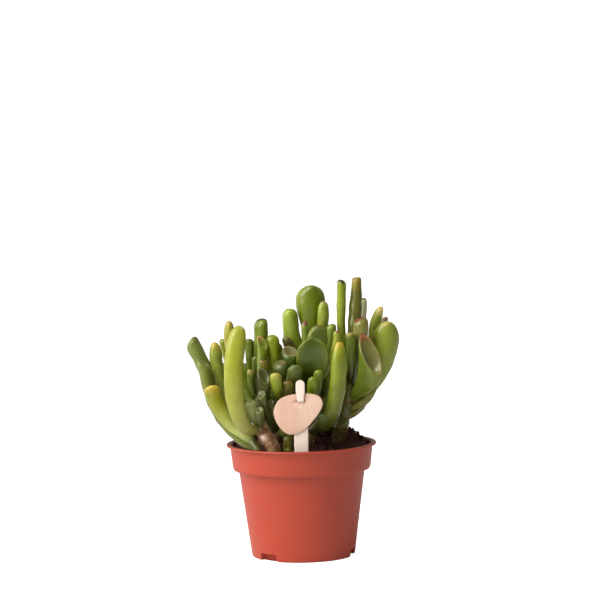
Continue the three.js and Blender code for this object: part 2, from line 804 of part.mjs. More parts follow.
function stickHole() {
  const behind = LABEL.cardY + LABEL.cardThickness / 2 + GAP;
  const hole = new THREE.BoxGeometry(
    LABEL.stickWidth + 2 * GAP,
    LABEL.stickThickness + 2 * GAP,
    2 * (POT.height - LABEL.stickBottom),
  );
  hole.translate(0, behind + LABEL.stickThickness / 2, POT.height - GAP);
  return toSolid(hole);
}

// Assembly

const plant = new THREE.Group();
plant.add(pot());

const lowLeft = SHOOTS.shoot_low_left;
const [footRadius, topRadius] = lowLeft.radii;
const rootedShoot = stemSolid(lowLeft.stem, footRadius + GAP, topRadius + GAP, SHOOT_STEPS);
plant.add(soil([...Object.values(FEET).map(footHole), rootedShoot], stickHole()));

for (const [name, data] of Object.entries(FEET)) {
  plant.add(foot(name, data));
}
for (const [name, data] of Object.entries(SHOOTS)) {
  plant.add(shoot(name, data));
}
plant.add(labelStick());
plant.add(labelCard());

export default plant;
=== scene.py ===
# %% [markdown]
# # A potted hobbit jade
# The subject is a small succulent in a terracotta-coloured nursery pot, with a blank wooden label in front.
# Its solids come packed from the CAD step as a fixed frame. This script dresses them: every piece is made
# again as a finer surface in the same place, and every surface gets a procedural material.
# Sizes of the object are written in millimetres and turned into metres only where a mesh is made. The lights,
# the floor and the depths given to shaders are in metres.

from math import acos, cos, pi, radians, sin

import bpy
import numpy as np
from mathutils import Matrix, Vector


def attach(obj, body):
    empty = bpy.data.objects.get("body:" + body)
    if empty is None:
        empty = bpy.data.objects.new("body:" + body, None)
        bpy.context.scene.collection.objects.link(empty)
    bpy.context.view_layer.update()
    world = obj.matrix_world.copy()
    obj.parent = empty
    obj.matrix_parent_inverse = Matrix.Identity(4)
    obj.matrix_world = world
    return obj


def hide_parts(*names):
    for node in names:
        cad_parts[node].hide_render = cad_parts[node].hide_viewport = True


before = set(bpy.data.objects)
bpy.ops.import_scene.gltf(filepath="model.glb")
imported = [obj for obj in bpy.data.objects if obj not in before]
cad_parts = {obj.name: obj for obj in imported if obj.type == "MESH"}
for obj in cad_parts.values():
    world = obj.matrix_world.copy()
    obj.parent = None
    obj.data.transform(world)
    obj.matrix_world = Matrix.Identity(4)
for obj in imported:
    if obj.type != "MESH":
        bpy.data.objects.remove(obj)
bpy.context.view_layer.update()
MM = 0.001

# %% [markdown]
# ## The camera
# The photograph was taken from far away with a long lens, a little above the pot's rim and tilted slightly.
# The lens, place and tilt were found by matching the pot's rim, band and base, with the pot taken for a
# standard one of 9 cm, because the photograph itself gives no measure.
# Everything else is judged through this camera, so it comes first.

# %% Camera
CAMERA_PLACE = (0.9, -1638, 284.2)
CAMERA_PITCH = 4.55  # degrees down
CAMERA_ROLL = -1.15  # degrees
LENS = 164.64
SENSOR = 36

camera_data = bpy.data.cameras.new("camera")
camera_data.lens = LENS
camera_data.sensor_width = SENSOR
camera_data.clip_start = 0.1
camera_data.clip_end = 20
camera = bpy.data.objects.new("camera", camera_data)
upright = Matrix.Rotation(radians(90 - CAMERA_PITCH), 4, "X") @ Matrix.Rotation(radians(CAMERA_ROLL), 4, "Z")
camera.matrix_world = Matrix.Translation(Vector(CAMERA_PLACE) * MM) @ upright
bpy.context.scene.collection.objects.link(camera)
bpy.context.scene.camera = camera
print("camera", [round(v, 3) for v in camera.location])

# %% [markdown]
# ## Light and floor
# A product photograph on white has a large soft box to the left of the camera, and white surroundings and a
# bright floor that fill the shadows. Here a small second box stands nearer to the camera and higher up, and a
# third one stands low and further round on the left, where it draws the pale sheen down every left flank.
# The world gives the surroundings. Its light grows towards the left, the back and the ceiling, so the right
# side stays darker and the faces towards the camera stay deep. The camera itself sees the world and the floor
# brighter than the surfaces do, so the backdrop is white while the plant keeps its depth.

# %% Light and floor
FILL = 0.3
FILL_LEAN = (-0.13, 0.1, 0.1)  # how much the fill grows towards the left, the back and the ceiling
FILL_COLOUR = (1.0, 0.94, 0.82)
BACKDROP = 1.05
BOX_DISTANCE = 1.6
BOX_AIM = (0, 0, 0.08)
# For each soft box: degrees from the camera's side, negative towards the left, elevation, size and power.
SOFT_BOXES = {
    "soft_box": (-54, 40, (0.7, 1.8), 27),
    "front_box": (-24, 52, (0.6, 0.6), 4.5),
    "side_box": (-106, 14, (0.8, 1.5), 9),
}
FLOOR_SIZE = 6
FLOOR_WHITE = 0.75
FLOOR_GLOW = 0.85

world = bpy.data.worlds.new("studio")
bpy.context.scene.world = world
world.use_nodes = True
sky = world.node_tree
fill = sky.nodes["Background"]
fill.inputs["Color"].default_value = (*FILL_COLOUR, 1)
direction = sky.nodes.new("ShaderNodeTexCoord")
lean = sky.nodes.new("ShaderNodeVectorMath")
lean.operation = "DOT_PRODUCT"
lean.inputs[1].default_value = FILL_LEAN
level = sky.nodes.new("ShaderNodeMath")
level.inputs[1].default_value = FILL
sky.links.new(direction.outputs["Generated"], lean.inputs[0])
sky.links.new(lean.outputs["Value"], level.inputs[0])
sky.links.new(level.outputs[0], fill.inputs["Strength"])
backdrop = sky.nodes.new("ShaderNodeBackground")
backdrop.inputs["Color"].default_value = (1, 1, 1, 1)
backdrop.inputs["Strength"].default_value = BACKDROP
rays = sky.nodes.new("ShaderNodeLightPath")
choice = sky.nodes.new("ShaderNodeMixShader")
sky.links.new(rays.outputs["Is Camera Ray"], choice.inputs[0])
sky.links.new(fill.outputs[0], choice.inputs[1])
sky.links.new(backdrop.outputs[0], choice.inputs[2])
sky.links.new(choice.outputs[0], sky.nodes["World Output"].inputs["Surface"])
bpy.context.scene.view_settings.view_transform = "Standard"

for name, (azimuth, elevation, size, power) in SOFT_BOXES.items():
    box_data = bpy.data.lights.new(name, "AREA")
    box_data.shape = "RECTANGLE"
    box_data.size, box_data.size_y = size
    box_data.energy = power
    box = bpy.data.objects.new(name, box_data)
    turn, rise = radians(azimuth), radians(elevation)
    towards = Vector((sin(turn) * cos(rise), -cos(turn) * cos(rise), sin(rise)))
    box.location = Vector(BOX_AIM) + BOX_DISTANCE * towards
    box.rotation_euler = towards.to_track_quat("Z", "Y").to_euler()
    bpy.context.scene.collection.objects.link(box)
    print(name, "at", [round(v, 2) for v in box.location])

# %% [markdown]
# ## From arrays to meshes
# Each new surface is a grid of points: rings that follow each other, each with the same number of sides.
# A patch keeps such a grid with its faces and with one number or colour a point for each mask that its
# material reads. Patches that belong to one piece are joined into one mesh.

# %% Grid helpers
def per_point(values, count, sides):
    """A mask given for each ring or for each point of the grid, as one flat row of points."""
    values = np.asarray(values, float)
    if values.ndim == 1:
        values = values[:, None]
    grid = np.broadcast_to(values, (count, sides) + values.shape[2:])
    return grid.reshape((count * sides,) + values.shape[2:])


def tube(rings, first, last, **masks):
    """A closed patch: quads join neighbouring rings, counted outwards, and a fan closes each end."""
    count, sides = rings.shape[:2]
    ring, side = np.meshgrid(np.arange(count - 1), np.arange(sides), indexing="ij")
    low, after = ring * sides + side, ring * sides + (side + 1) % sides
    quads = np.stack([low, after, after + sides, low + sides], -1).reshape(-1, 4)
    edge = np.arange(sides)
    turn = (edge + 1) % sides
    pole = count * sides
    last_ring = (count - 1) * sides
    fans = np.concatenate([
        np.stack([np.full(sides, pole), turn, edge], -1),
        np.stack([np.full(sides, pole + 1), last_ring + edge, last_ring + turn], -1),
    ])
    points = np.concatenate([rings.reshape(-1, 3), [first, last]])
    spread = {}
    for name, values in masks.items():
        flat = per_point(values, count, sides)
        spread[name] = np.concatenate([flat, flat[:1], flat[-1:]])
    return {"points": points, "quads": quads, "fans": fans, "masks": spread}


def loop(rings, **masks):
    """A patch closed both ways round, as a ring is: the last ring joins the first."""
    count, sides = rings.shape[:2]
    ring, side = np.meshgrid(np.arange(count), np.arange(sides), indexing="ij")
    ahead = (ring + 1) % count
    turn = (side + 1) % sides
    corners = [ring * sides + side, ring * sides + turn, ahead * sides + turn, ahead * sides + side]
    quads = np.stack(corners, -1).reshape(-1, 4)
    spread = {name: per_point(values, count, sides) for name, values in masks.items()}
    return {"points": rings.reshape(-1, 3), "quads": quads, "fans": np.zeros((0, 3), int), "masks": spread}


def make_piece(name, patches, material, stands_for):
    """Joins patches into one smooth mesh in metres, which rides on the root and stands for CAD nodes."""
    starts = np.cumsum([0] + [len(patch["points"]) for patch in patches])
    points = np.concatenate([patch["points"] for patch in patches]) * MM
    faces = []
    for patch, start in zip(patches, starts):
        faces += (patch["quads"] + start).tolist() + (patch["fans"] + start).tolist()
    mesh = bpy.data.meshes.new(name)
    mesh.from_pydata(points, [], faces)
    mesh.polygons.foreach_set("use_smooth", np.ones(len(faces), bool))
    for mask in patches[0]["masks"]:
        values = np.concatenate([patch["masks"][mask] for patch in patches])
        if values.ndim == 1:
            mesh.attributes.new(mask, "FLOAT", "POINT").data.foreach_set("value", values)
        else:
            rgba = np.column_stack([values, np.ones(len(values))])
            mesh.attributes.new(mask, "FLOAT_COLOR", "POINT").data.foreach_set("color", rgba.ravel())
    mesh.materials.append(material)
    mesh.validate()
    piece = bpy.data.objects.new(name, mesh)
    bpy.context.scene.collection.objects.link(piece)
    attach(piece, "root")
    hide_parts(*stands_for)
    print(name, len(faces), "faces")
    return piece


def unit(vectors):
    """Each vector divided by its length."""
    return vectors / np.linalg.norm(vectors, axis=-1, keepdims=True)


def smooth(share):
    """Rises from 0 to 1 with a flat start and a flat end: 3 share squared minus 2 share cubed."""
    share = np.clip(share, 0, 1)
    return share * share * (3 - 2 * share)


def rounded(corners, radius, steps=5):
    """A profile whose corners are cut back by the radius and bridged with a quadratic curve."""
    corners = np.asarray(corners, float)
    inner = corners[1:-1]
    back, ahead = corners[:-2] - inner, corners[2:] - inner
    reach = np.minimum(radius, 0.45 * np.minimum(np.linalg.norm(back, axis=1), np.linalg.norm(ahead, axis=1)))
    start = inner + unit(back) * reach[:, None]
    end = inner + unit(ahead) * reach[:, None]
    t = np.linspace(0, 1, steps)[None, :, None]
    curve = (1 - t) ** 2 * start[:, None] + 2 * t * (1 - t) * inner[:, None] + t ** 2 * end[:, None]
    return np.concatenate([corners[:1], curve.reshape(-1, corners.shape[1]), corners[-1:]])


def waves(points, seed, size, count=12):
    """Soft noise from -1 to 1: the mean of sine waves of about the given size in random directions."""
    draw = np.random.default_rng(seed)
    directions = unit(draw.normal(size=(count, 3))) * (2 * pi / size) * draw.uniform(0.6, 1.4, (count, 1))
    phases = draw.uniform(0, 2 * pi, count)
    return np.sin(points @ directions.T + phases).sum(-1) / np.sqrt(count / 2)


# %% [markdown]
# ## Colours and shader helpers
# Colours are given as screen values from 0 to 255 and corrected against the photograph, because that is
# how an eye and a colour picker give them. Shaders work in linear light, so they are turned into it once.
# A mottle group gives soft uneven patches to the plastic, the peat and the leaves, each at its own size and
# strength. Bark has a group of its own further down.

# %% Shader helpers
def linear(colour):
    """Screen values from 0 to 255 as linear light from 0 to 1."""
    share = np.asarray(colour, float) / 255
    return np.where(share <= 0.04045, share / 12.92, ((share + 0.055) / 1.055) ** 2.4)


def new_material(name, roughness, **constants):
    """A material with a Principled shader, with the values that are the same all over set on its sockets."""
    material = bpy.data.materials.new(name)
    material.use_nodes = True
    shader = material.node_tree.nodes["Principled BSDF"]
    shader.inputs["Roughness"].default_value = roughness
    for socket, value in constants.items():
        shader.inputs[socket.replace("_", " ")].default_value = value
    return material, material.node_tree, shader


def node(tree, kind, values=(), **settings):
    """Adds a node, sets its properties, and fills or links its inputs by name."""
    made = tree.nodes.new("ShaderNode" + kind)
    for setting, value in settings.items():
        setattr(made, setting, value)
    for name, value in dict(values).items():
        socket = made.inputs[name]
        if isinstance(value, bpy.types.NodeSocket):
            tree.links.new(value, socket)
        else:
            socket.default_value = value
    return made


def mix(tree, share, low, high, blend="MIX"):
    """Mixes two colours, each a socket or a linear triple, by a share that is a socket or a number."""
    made = tree.nodes.new("ShaderNodeMix")
    made.data_type = "RGBA"
    made.blend_type = blend
    for index, value in ((0, share), (6, low), (7, high)):
        socket = made.inputs[index]
        if isinstance(value, bpy.types.NodeSocket):
            tree.links.new(value, socket)
        elif index == 0:
            socket.default_value = value
        else:
            socket.default_value = (*value, 1)
    return made.outputs[2]


def reckon(tree, operation, first, second=0.0, clamp=False):
    """One arithmetic step between sockets or numbers."""
    return node(tree, "Math", {0: first, 1: second}, operation=operation, use_clamp=clamp).outputs[0]


def times(tree, value, factor):
    """A value multiplied by a factor."""
    return reckon(tree, "MULTIPLY", value, factor)


def attribute(tree, name, output="Fac"):
    """Reads a mask or a colour from the mesh."""
    return node(tree, "Attribute", attribute_name=name).outputs[output]


def feed(tree, shader, **sockets):
    """Links a value that changes over the surface to each named socket of the shader."""
    for name, value in sockets.items():
        tree.links.new(value, shader.inputs[name.replace("_", " ")])


def add_bump(tree, shader, height, strength, distance):
    """Bumps the shader's normal by a height."""
    bump = node(tree, "Bump", {"Height": height, "Strength": strength, "Distance": distance})
    feed(tree, shader, Normal=bump.outputs["Normal"])


def stretch(tree, value, low, high):
    """Maps a value from 0..1 to low..high."""
    return node(tree, "MapRange", {"Value": value, "To Min": low, "To Max": high}).outputs["Result"]


def ramp(tree, value, low, high):
    """Maps a value from low..high to 0..1, with a smooth start and end."""
    made = node(tree, "MapRange", {"Value": value, "From Min": low, "From Max": high})
    made.interpolation_type = "SMOOTHSTEP"
    return made.outputs["Result"]


def new_group(name, inputs, outputs):
    """An empty shader group with named number inputs and named outputs."""
    group = bpy.data.node_groups.new(name, "ShaderNodeTree")
    for label, value in inputs.items():
        socket = group.interface.new_socket(label, in_out="INPUT", socket_type="NodeSocketFloat")
        socket.default_value = value
    for label in outputs:
        group.interface.new_socket(label, in_out="OUTPUT", socket_type="NodeSocketFloat")
    return group, group.nodes.new("NodeGroupInput"), group.nodes.new("NodeGroupOutput")


mottle, given, result = new_group("mottle", {"Scale": 200.0, "Low": 0.8, "High": 1.2}, ["Factor", "Noise"])
place = mottle.nodes.new("ShaderNodeTexCoord")
patches_noise = node(mottle, "TexNoise", {
    "Vector": place.outputs["Object"], "Scale": given.outputs["Scale"], "Detail": 4.0, "Roughness": 0.55})
spread_noise = node(mottle, "MapRange", {
    "Value": patches_noise.outputs["Fac"], "From Min": 0.3, "From Max": 0.7,
    "To Min": given.outputs["Low"], "To Max": given.outputs["High"]})
mottle.links.new(spread_noise.outputs["Result"], result.inputs["Factor"])
mottle.links.new(patches_noise.outputs["Fac"], result.inputs["Noise"])


def add_group(tree, group, **values):
    """Places a shader group and sets its inputs."""
    made = tree.nodes.new("ShaderNodeGroup")
    made.node_tree = group
    for label, value in values.items():
        made.inputs[label].default_value = value
    return made


def add_mottle(tree, scale, low, high):
    """Places the mottle group, whose factor is multiplied into a colour."""
    return add_group(tree, mottle, Scale=scale, Low=low, High=high)


def shaded(tree, colour, factor):
    """A colour times a factor, with the factor as a socket."""
    grey = node(tree, "CombineColor", {0: factor, 1: factor, 2: factor}).outputs[0]
    return mix(tree, 1.0, colour, grey, "MULTIPLY")


print("groups:", [group.name for group in bpy.data.node_groups])

# %% [markdown]
# ## The pot
# A nursery pot is blown or moulded in thin polypropylene: a rolled lip, a collar band that tapers less than
# the body, a step under it, and a base on a low ring with notches that let water out. It could be turned with
# a Screw modifier. Here the profile is written as corners, rounded by one formula and turned as an array,
# because the notches are then only a lift of the lowest rings where their angle lies in a notch. A notch ends
# at a back wall. The plastic is faintly mottled and scuffed, and painted shade darkens it on the inside.

# %% Pot
POT_HEIGHT = 68
WALL = 1.1
LIP_RADIUS = 45
LIP_THICKNESS = 1.3
BAND_TOP_RADIUS = 42.9
BAND_FOOT_RADIUS = 41.4
BAND_FOOT_HEIGHT = 53.6
BODY_TOP_RADIUS = 37.9
BODY_TOP_HEIGHT = 52.1
BASE_RADIUS = 31
FOOT_RING_WIDTH = 4.6
FLOOR_UNDERSIDE = 3
PAD_RADIUS = 12
PAD_SLOPE = 1.5
NOTCHES = 3
FIRST_NOTCH = -43  # degrees from the front, turning towards +X
NOTCH_WIDTH = 12.5
NOTCH_HEIGHT = 4.5
NOTCH_DEPTH = 3
POT_SIDES = 360
CORNER_RADIUS = 0.7
POT_COLOUR = (183, 61, 32)
# Painted shade for the inside of the pot: its dark brown, and how strongly it is mixed in.
INSIDE_SHADE_COLOUR = (66, 34, 28)
INSIDE_SHADE_SHARE = 0.7


def inner_wall():
    """Corners of the inner wall, from the floor's edge up to the lip."""
    return [
        (BASE_RADIUS - WALL, FLOOR_UNDERSIDE + WALL),
        (BODY_TOP_RADIUS - WALL, BODY_TOP_HEIGHT + WALL / 2),
        (BAND_FOOT_RADIUS - WALL, BAND_FOOT_HEIGHT + WALL),
        (BAND_TOP_RADIUS - WALL, POT_HEIGHT),
    ]


def wall_points():
    """Points up the outer wall, close together round the notches' ceiling and then far apart."""
    heights = np.concatenate([np.linspace(NOTCH_HEIGHT - 0.6, NOTCH_HEIGHT + 0.6, 5), [8, 16, 28, 40]])
    share = (heights - 0.8) / (BODY_TOP_HEIGHT - 0.8)
    return list(zip(BASE_RADIUS + (BODY_TOP_RADIUS - BASE_RADIUS) * share, heights))


def pot_profile():
    """Radius and height from the middle of the underside, up the outside, over the lip and down inside."""
    lip_foot = POT_HEIGHT - LIP_THICKNESS
    channel = PAD_RADIUS + PAD_SLOPE
    ring = BASE_RADIUS - FOOT_RING_WIDTH
    outside = [
        (PAD_RADIUS, 0),
        (channel, FLOOR_UNDERSIDE),
        (ring, FLOOR_UNDERSIDE),
        (ring, 0),
        (BASE_RADIUS - NOTCH_DEPTH - 0.2, 0),
        (BASE_RADIUS - NOTCH_DEPTH + 0.2, 0),
        (BASE_RADIUS - 0.5, 0),
        (BASE_RADIUS, 0.8),
        *wall_points(),
        (BODY_TOP_RADIUS, BODY_TOP_HEIGHT),
        (BAND_FOOT_RADIUS - 0.6, BAND_FOOT_HEIGHT - 1.3),
        (BAND_FOOT_RADIUS, BAND_FOOT_HEIGHT),
        (BAND_TOP_RADIUS, lip_foot),
        (LIP_RADIUS, lip_foot),
        (LIP_RADIUS, POT_HEIGHT),
    ]
    inside = [*inner_wall()[::-1], (channel, FLOOR_UNDERSIDE + WALL), (PAD_RADIUS, WALL)]
    return rounded([(2, 0), *outside, *inside, (2, WALL)], CORNER_RADIUS)


def pot_rings():
    """The profile turned about Z, with the lowest rings lifted inside a notch, and the mask of the inside."""
    profile = pot_profile()
    crest = np.argmax(profile @ (1, 2))
    angle = np.linspace(0, 2 * pi, POT_SIDES, endpoint=False)
    radius = np.broadcast_to(profile[:, :1], (len(profile), POT_SIDES))
    height = np.broadcast_to(profile[:, 1:], (len(profile), POT_SIDES)).copy()
    from_front = np.degrees(angle) + 90 - FIRST_NOTCH
    nearest = (from_front + 60) % (360 / NOTCHES) - 60
    across = np.abs(BASE_RADIUS * np.radians(nearest))
    inside_notch = smooth((NOTCH_WIDTH / 2 + 0.6 - across) / 1.2)
    ceiling = np.where(radius > BASE_RADIUS - 1.2, NOTCH_HEIGHT, FLOOR_UNDERSIDE)
    lift = inside_notch * (radius > BASE_RADIUS - NOTCH_DEPTH) * (height < NOTCH_HEIGHT)
    height += lift * np.maximum(0, ceiling - height)
    rings = np.stack([radius * np.cos(angle), radius * np.sin(angle), height], -1)
    return rings, (np.arange(len(profile)) > crest) * 1.0


plastic, tree, shader = new_material("pot_plastic", 0.5, Specular_IOR_Level=0.62)
cloud = add_mottle(tree, scale=45, low=0.96, high=1.04)
grain = add_mottle(tree, scale=2600, low=0, high=1)
# Painted shade: the whole inside of the pot is mixed towards a dark brown.
inside_shade = times(tree, attribute(tree, "inside"), INSIDE_SHADE_SHARE)
plastic_colour = shaded(tree, linear(POT_COLOUR), cloud.outputs["Factor"])
feed(tree, shader, Base_Color=mix(tree, inside_shade, plastic_colour, linear(INSIDE_SHADE_COLOUR)),
     Roughness=stretch(tree, cloud.outputs["Noise"], 0.38, 0.5))
add_bump(tree, shader, grain.outputs["Noise"], strength=0.05, distance=0.0002)

rings, inside = pot_rings()
pot_wall = tube(rings, (0, 0, 0), (0, 0, WALL), inside=inside)
make_piece("pot_shell", [pot_wall], plastic, ["pot"])

# %% [markdown]
# ## The soil
# Potting peat is nearly black when moist, and breaks into crumbs. The heap is a height worked out over a
# polar grid: a crown, a bank round the right-hand stem, slow waves and a fine roughness. Loose crumbs are
# small uneven lumps with few faces each, strewn over it with seeded draws. A few larger clods lie behind
# the stems.

# %% Soil
SOIL_FRONT_EDGE = 60.5
SOIL_REAR_EDGE = 66.5
SOIL_MIDDLE = 67.5
BANK_PLACE = (27, 15)
BANK_HEIGHT = 7.8
BANK_SPREAD = 8
SOIL_WAVES = [(0.5, 0.42, 0.37, 0.7), (0.5, 0.42, -0.37, 1.9), (0.3, 0.23, -0.31, 0)]
SOIL_GAP = 0.3
SOIL_ROUGHNESS = [(0.45, 3, 4.0), (0.3, 4, 1.7), (0.2, 5, 0.9)]  # height, seed and size of each wave
CRUMBS = 900
CRUMB_SIZES = (0.35, 1.5)
CLODS = [(13.4, 30, 68.2), (15.4, 30.5, 68.9), (17.4, 30, 68.3), (15.5, 28, 67.8),
         (-25.8, 27, 68.4), (-27.8, 27.5, 68.9), (-29.6, 27, 68.2)]
CLOD_SIZE = 2.1
PEAT_COLOUR = (74, 44, 42)


def soil_edge():
    """Radius of the soil where it meets the wall."""
    return BAND_FOOT_RADIUS - WALL - SOIL_GAP


def soil_height(x, y):
    """Height of the heap: a parabola from the middle to the edge, a bell for the bank, and three waves."""
    edge = soil_edge()
    share = np.hypot(x, y) / edge
    edge_height = SOIL_FRONT_EDGE + (SOIL_REAR_EDGE - SOIL_FRONT_EDGE) * smooth((y + edge) / (2 * edge))
    height = SOIL_MIDDLE + (edge_height - SOIL_MIDDLE) * share ** 2
    off_bank = np.hypot(x - BANK_PLACE[0], y - BANK_PLACE[1]) / BANK_SPREAD
    height = height + BANK_HEIGHT * np.exp(-off_bank ** 2 / 2)
    for wave, along_x, along_y, phase in SOIL_WAVES:
        height = height + wave * np.sin(along_x * x + along_y * y + phase)
    return height


def soil_body():
    """Rings up the inner wall and then in over the heap, whose points are roughened."""
    wall = [(radius - SOIL_GAP, height + SOIL_GAP) for radius, height in inner_wall()]
    angle = np.linspace(0, 2 * pi, 120, endpoint=False)
    sides = np.array([(2, wall[0][1]), *wall[:3]])
    low = np.stack([sides[:, :1] * np.cos(angle), sides[:, :1] * np.sin(angle),
                    np.broadcast_to(sides[:, 1:], (len(sides), len(angle)))], -1)
    radius = soil_edge() * np.linspace(1, 0.02, 46)[:, None]
    x, y = radius * np.cos(angle), radius * np.sin(angle)
    flat = np.stack([x, y, 0 * x], -1)
    rough = sum(height * waves(flat, seed, size) for height, seed, size in SOIL_ROUGHNESS)
    top = np.stack([x, y, soil_height(x, y) + rough], -1)
    rings = np.concatenate([low, top])
    return tube(rings, (0, 0, wall[0][1]), (0, 0, soil_height(0.0, 0.0)))


def crumb_patch(middles, sizes, seed):
    """Uneven lumps: a globe of 5 rings and 8 sides, swollen by waves that differ from crumb to crumb."""
    tilt = np.linspace(0.12, pi - 0.12, 5)[:, None]
    turn = np.linspace(0, 2 * pi, 8, endpoint=False)
    globe = np.stack([np.sin(tilt) * np.cos(turn), np.sin(tilt) * np.sin(turn), np.cos(tilt) + 0 * turn], -1)
    made = []
    draw = np.random.default_rng(seed)
    for middle, size in zip(middles, sizes):
        swell = 1 + 0.3 * waves(globe * 2 + middle, seed, 2.2)[..., None]
        stretch = draw.uniform(0.6, 1.2, 3)
        lump = (globe * swell * stretch * size)[::-1]
        ends = middle + np.array([(0, 0, -size), (0, 0, size)]) * stretch[2] * 0.9
        made.append(tube(lump + middle, ends[0], ends[1]))
    return made


draw = np.random.default_rng(11)
angles = draw.uniform(0, 2 * pi, CRUMBS)
radii = soil_edge() * np.sqrt(draw.uniform(0, 1, CRUMBS)) * 0.99
spots = np.column_stack([radii * np.cos(angles), radii * np.sin(angles)])
sizes = CRUMB_SIZES[0] + (CRUMB_SIZES[1] - CRUMB_SIZES[0]) * draw.uniform(0, 1, CRUMBS) ** 3
heights = soil_height(spots[:, 0], spots[:, 1]) + 0.3 * sizes
crumbs = crumb_patch(np.column_stack([spots, heights]), sizes, 12)
crumbs += crumb_patch(np.array(CLODS, float), np.full(len(CLODS), CLOD_SIZE), 13)

peat, tree, shader = new_material("peat", 0.95, Specular_IOR_Level=0.2)
earth = add_mottle(tree, scale=900, low=0.5, high=1.8)
feed(tree, shader, Base_Color=shaded(tree, linear(PEAT_COLOUR), earth.outputs["Factor"]))
add_bump(tree, shader, earth.outputs["Noise"], strength=0.8, distance=0.0006)
make_piece("soil_heap", [soil_body(), *crumbs], peat, ["soil"])

# %% [markdown]
# ## Stems
# A stem is a tube along a smooth line through a few points. Old stems are corky and brown, with a raised
# ring and a scar wherever a pair of leaves dropped off. The rings are a bulge of the radius at even steps.
# The share of bark is a mask on the mesh, so that one material can turn from bark to green up the stem.
# Single spots are raised in a mask one by one: an old scar, and a pale spot that is partly bare wood where
# the cork has come off and partly a painted highlight.

# %% Stems
STEM_SIDES = 28
NODE_STEP = 7.5
NODE_BULGE = 0.09
NODE_SHARPNESS = 0.08
SHOULDER_SHARE = 0.93  # where the rounding of a stem's top begins
BARK_FADE = 10  # millimetres over which bark turns into green
BARK_WAVES = [(0.16, 0, 5.0), (0.07, 1, 1.6)]  # height, step of the seed and size of each wave


def knot_slope(before, here, after, t_before, t_here, t_after):
    """The slope at the middle of three knots: the slopes on both sides, less the slope straight across."""
    return ((here - before) / (t_here - t_before)[:, None] - (after - before) / (t_after - t_before)[:, None]
            + (after - here) / (t_after - t_here)[:, None])


def stem_line(points, shares):
    """Points and directions on a smooth cubic through the given points, spaced by chord length."""
    knots = np.asarray(points, float)
    before, after = 2 * knots[0] - knots[1], 2 * knots[-1] - knots[-2]
    knots = np.vstack([before, knots, after])
    steps = np.linalg.norm(np.diff(knots, axis=0), axis=1)
    at = np.concatenate([[0], np.cumsum(steps)])
    where = at[1] + (at[-2] - at[1]) * np.asarray(shares, float)
    piece = np.clip(np.searchsorted(at, where, side="right") - 1, 1, len(knots) - 3)
    t0, t1, t2, t3 = (at[piece + k] for k in (-1, 0, 1, 2))
    p0, p1, p2, p3 = (knots[piece + k] for k in (-1, 0, 1, 2))
    slope1 = knot_slope(p0, p1, p2, t0, t1, t2)
    slope2 = knot_slope(p1, p2, p3, t1, t2, t3)
    span = (t2 - t1)[:, None]
    t = ((where - t1) / (t2 - t1))[:, None]
    middle = ((2 * t ** 3 - 3 * t ** 2 + 1) * p1 + (t ** 3 - 2 * t ** 2 + t) * span * slope1
              + (3 * t ** 2 - 2 * t ** 3) * p2 + (t ** 3 - t ** 2) * span * slope2)
    along = ((6 * t ** 2 - 6 * t) * p1 + (3 * t ** 2 - 4 * t + 1) * span * slope1
             + (6 * t - 6 * t ** 2) * p2 + (3 * t ** 2 - 2 * t) * span * slope2)
    return middle, unit(along)


def stem_patch(points, foot_radius, top_radius, bark_top, seed, spots=(), **masks):
    """Rings round the stem line, swollen at the nodes, rounded over at the top and uneven as bark is.
    A spot is a mask's name, a place and a radius. It raises the mask by a bell of the distance from there."""
    length = np.linalg.norm(np.diff(np.asarray(points, float), axis=0), axis=1).sum()
    shares = np.concatenate([np.linspace(0, SHOULDER_SHARE, 40),
                             1 - (1 - SHOULDER_SHARE) * np.cos(np.linspace(0.2, pi / 2, 6))])
    middle, along = stem_line(points, shares)
    across = unit(np.cross((0, 1, 0), along))
    forward = np.cross(along, across)
    angle = np.linspace(0, 2 * pi, STEM_SIDES, endpoint=False)
    radius = foot_radius + (top_radius - foot_radius) * shares
    travelled = shares * length
    node_phase = ((travelled + seed * 2.3) % NODE_STEP) / NODE_STEP
    ring = np.exp(-((node_phase - 0.5) / NODE_SHARPNESS) ** 2)
    closing = np.clip((shares - SHOULDER_SHARE) / 0.075, 0, 1)
    radius = radius * (1 + NODE_BULGE * ring) * np.sqrt(1 - closing ** 2 * 0.9)
    outwards = across[:, None] * np.cos(angle)[:, None] + forward[:, None] * np.sin(angle)[:, None]
    rings = middle[:, None] + outwards * radius[:, None, None]
    rough = sum(height * waves(rings, seed + step, size) for height, step, size in BARK_WAVES)
    rings = rings + outwards * rough[..., None]
    woody = smooth((bark_top - rings[..., 2]) / BARK_FADE + 0.5)
    spread = {name: np.broadcast_to(np.asarray(value, float), rings.shape[:2] + np.shape(value))
              for name, value in masks.items()}
    spread["scar"] = np.broadcast_to(ring[:, None], rings.shape[:2])
    for name, place, size in spots:
        bell = np.exp(-(np.linalg.norm(rings - np.array(place, float), axis=-1) / size) ** 2)
        spread[name] = np.maximum(spread[name], bell)
    return tube(rings, middle[0], middle[-1], woody=woody, **spread)


FEET = {
    "foot_front_left": ([(-15, -27, 56), (-17.5, -27, 70), (-21.5, -26, 76.6)], 4.4),
    "foot_centre": ([(-12, -14, 56), (-13.5, -14, 71.5)], 3.2),
    "foot_middle": ([(5, -9, 56), (5, -9, 71.5)], 3.1),
    "foot_right": ([(20, 2, 56), (23.5, 1, 75)], 4.4),
    "foot_back": ([(6, 19, 56), (7, 18, 73)], 3.1),
    "foot_back_left": ([(-22, 10, 56), (-23, 9, 72)], 3.1),
    "foot_back_right": ([(20, 22, 56), (23, 21, 74)], 3.1),
    "foot_rear": ([(-6, 29, 56), (-6, 30, 71)], 3.1),
}
print("feet:", len(FEET))

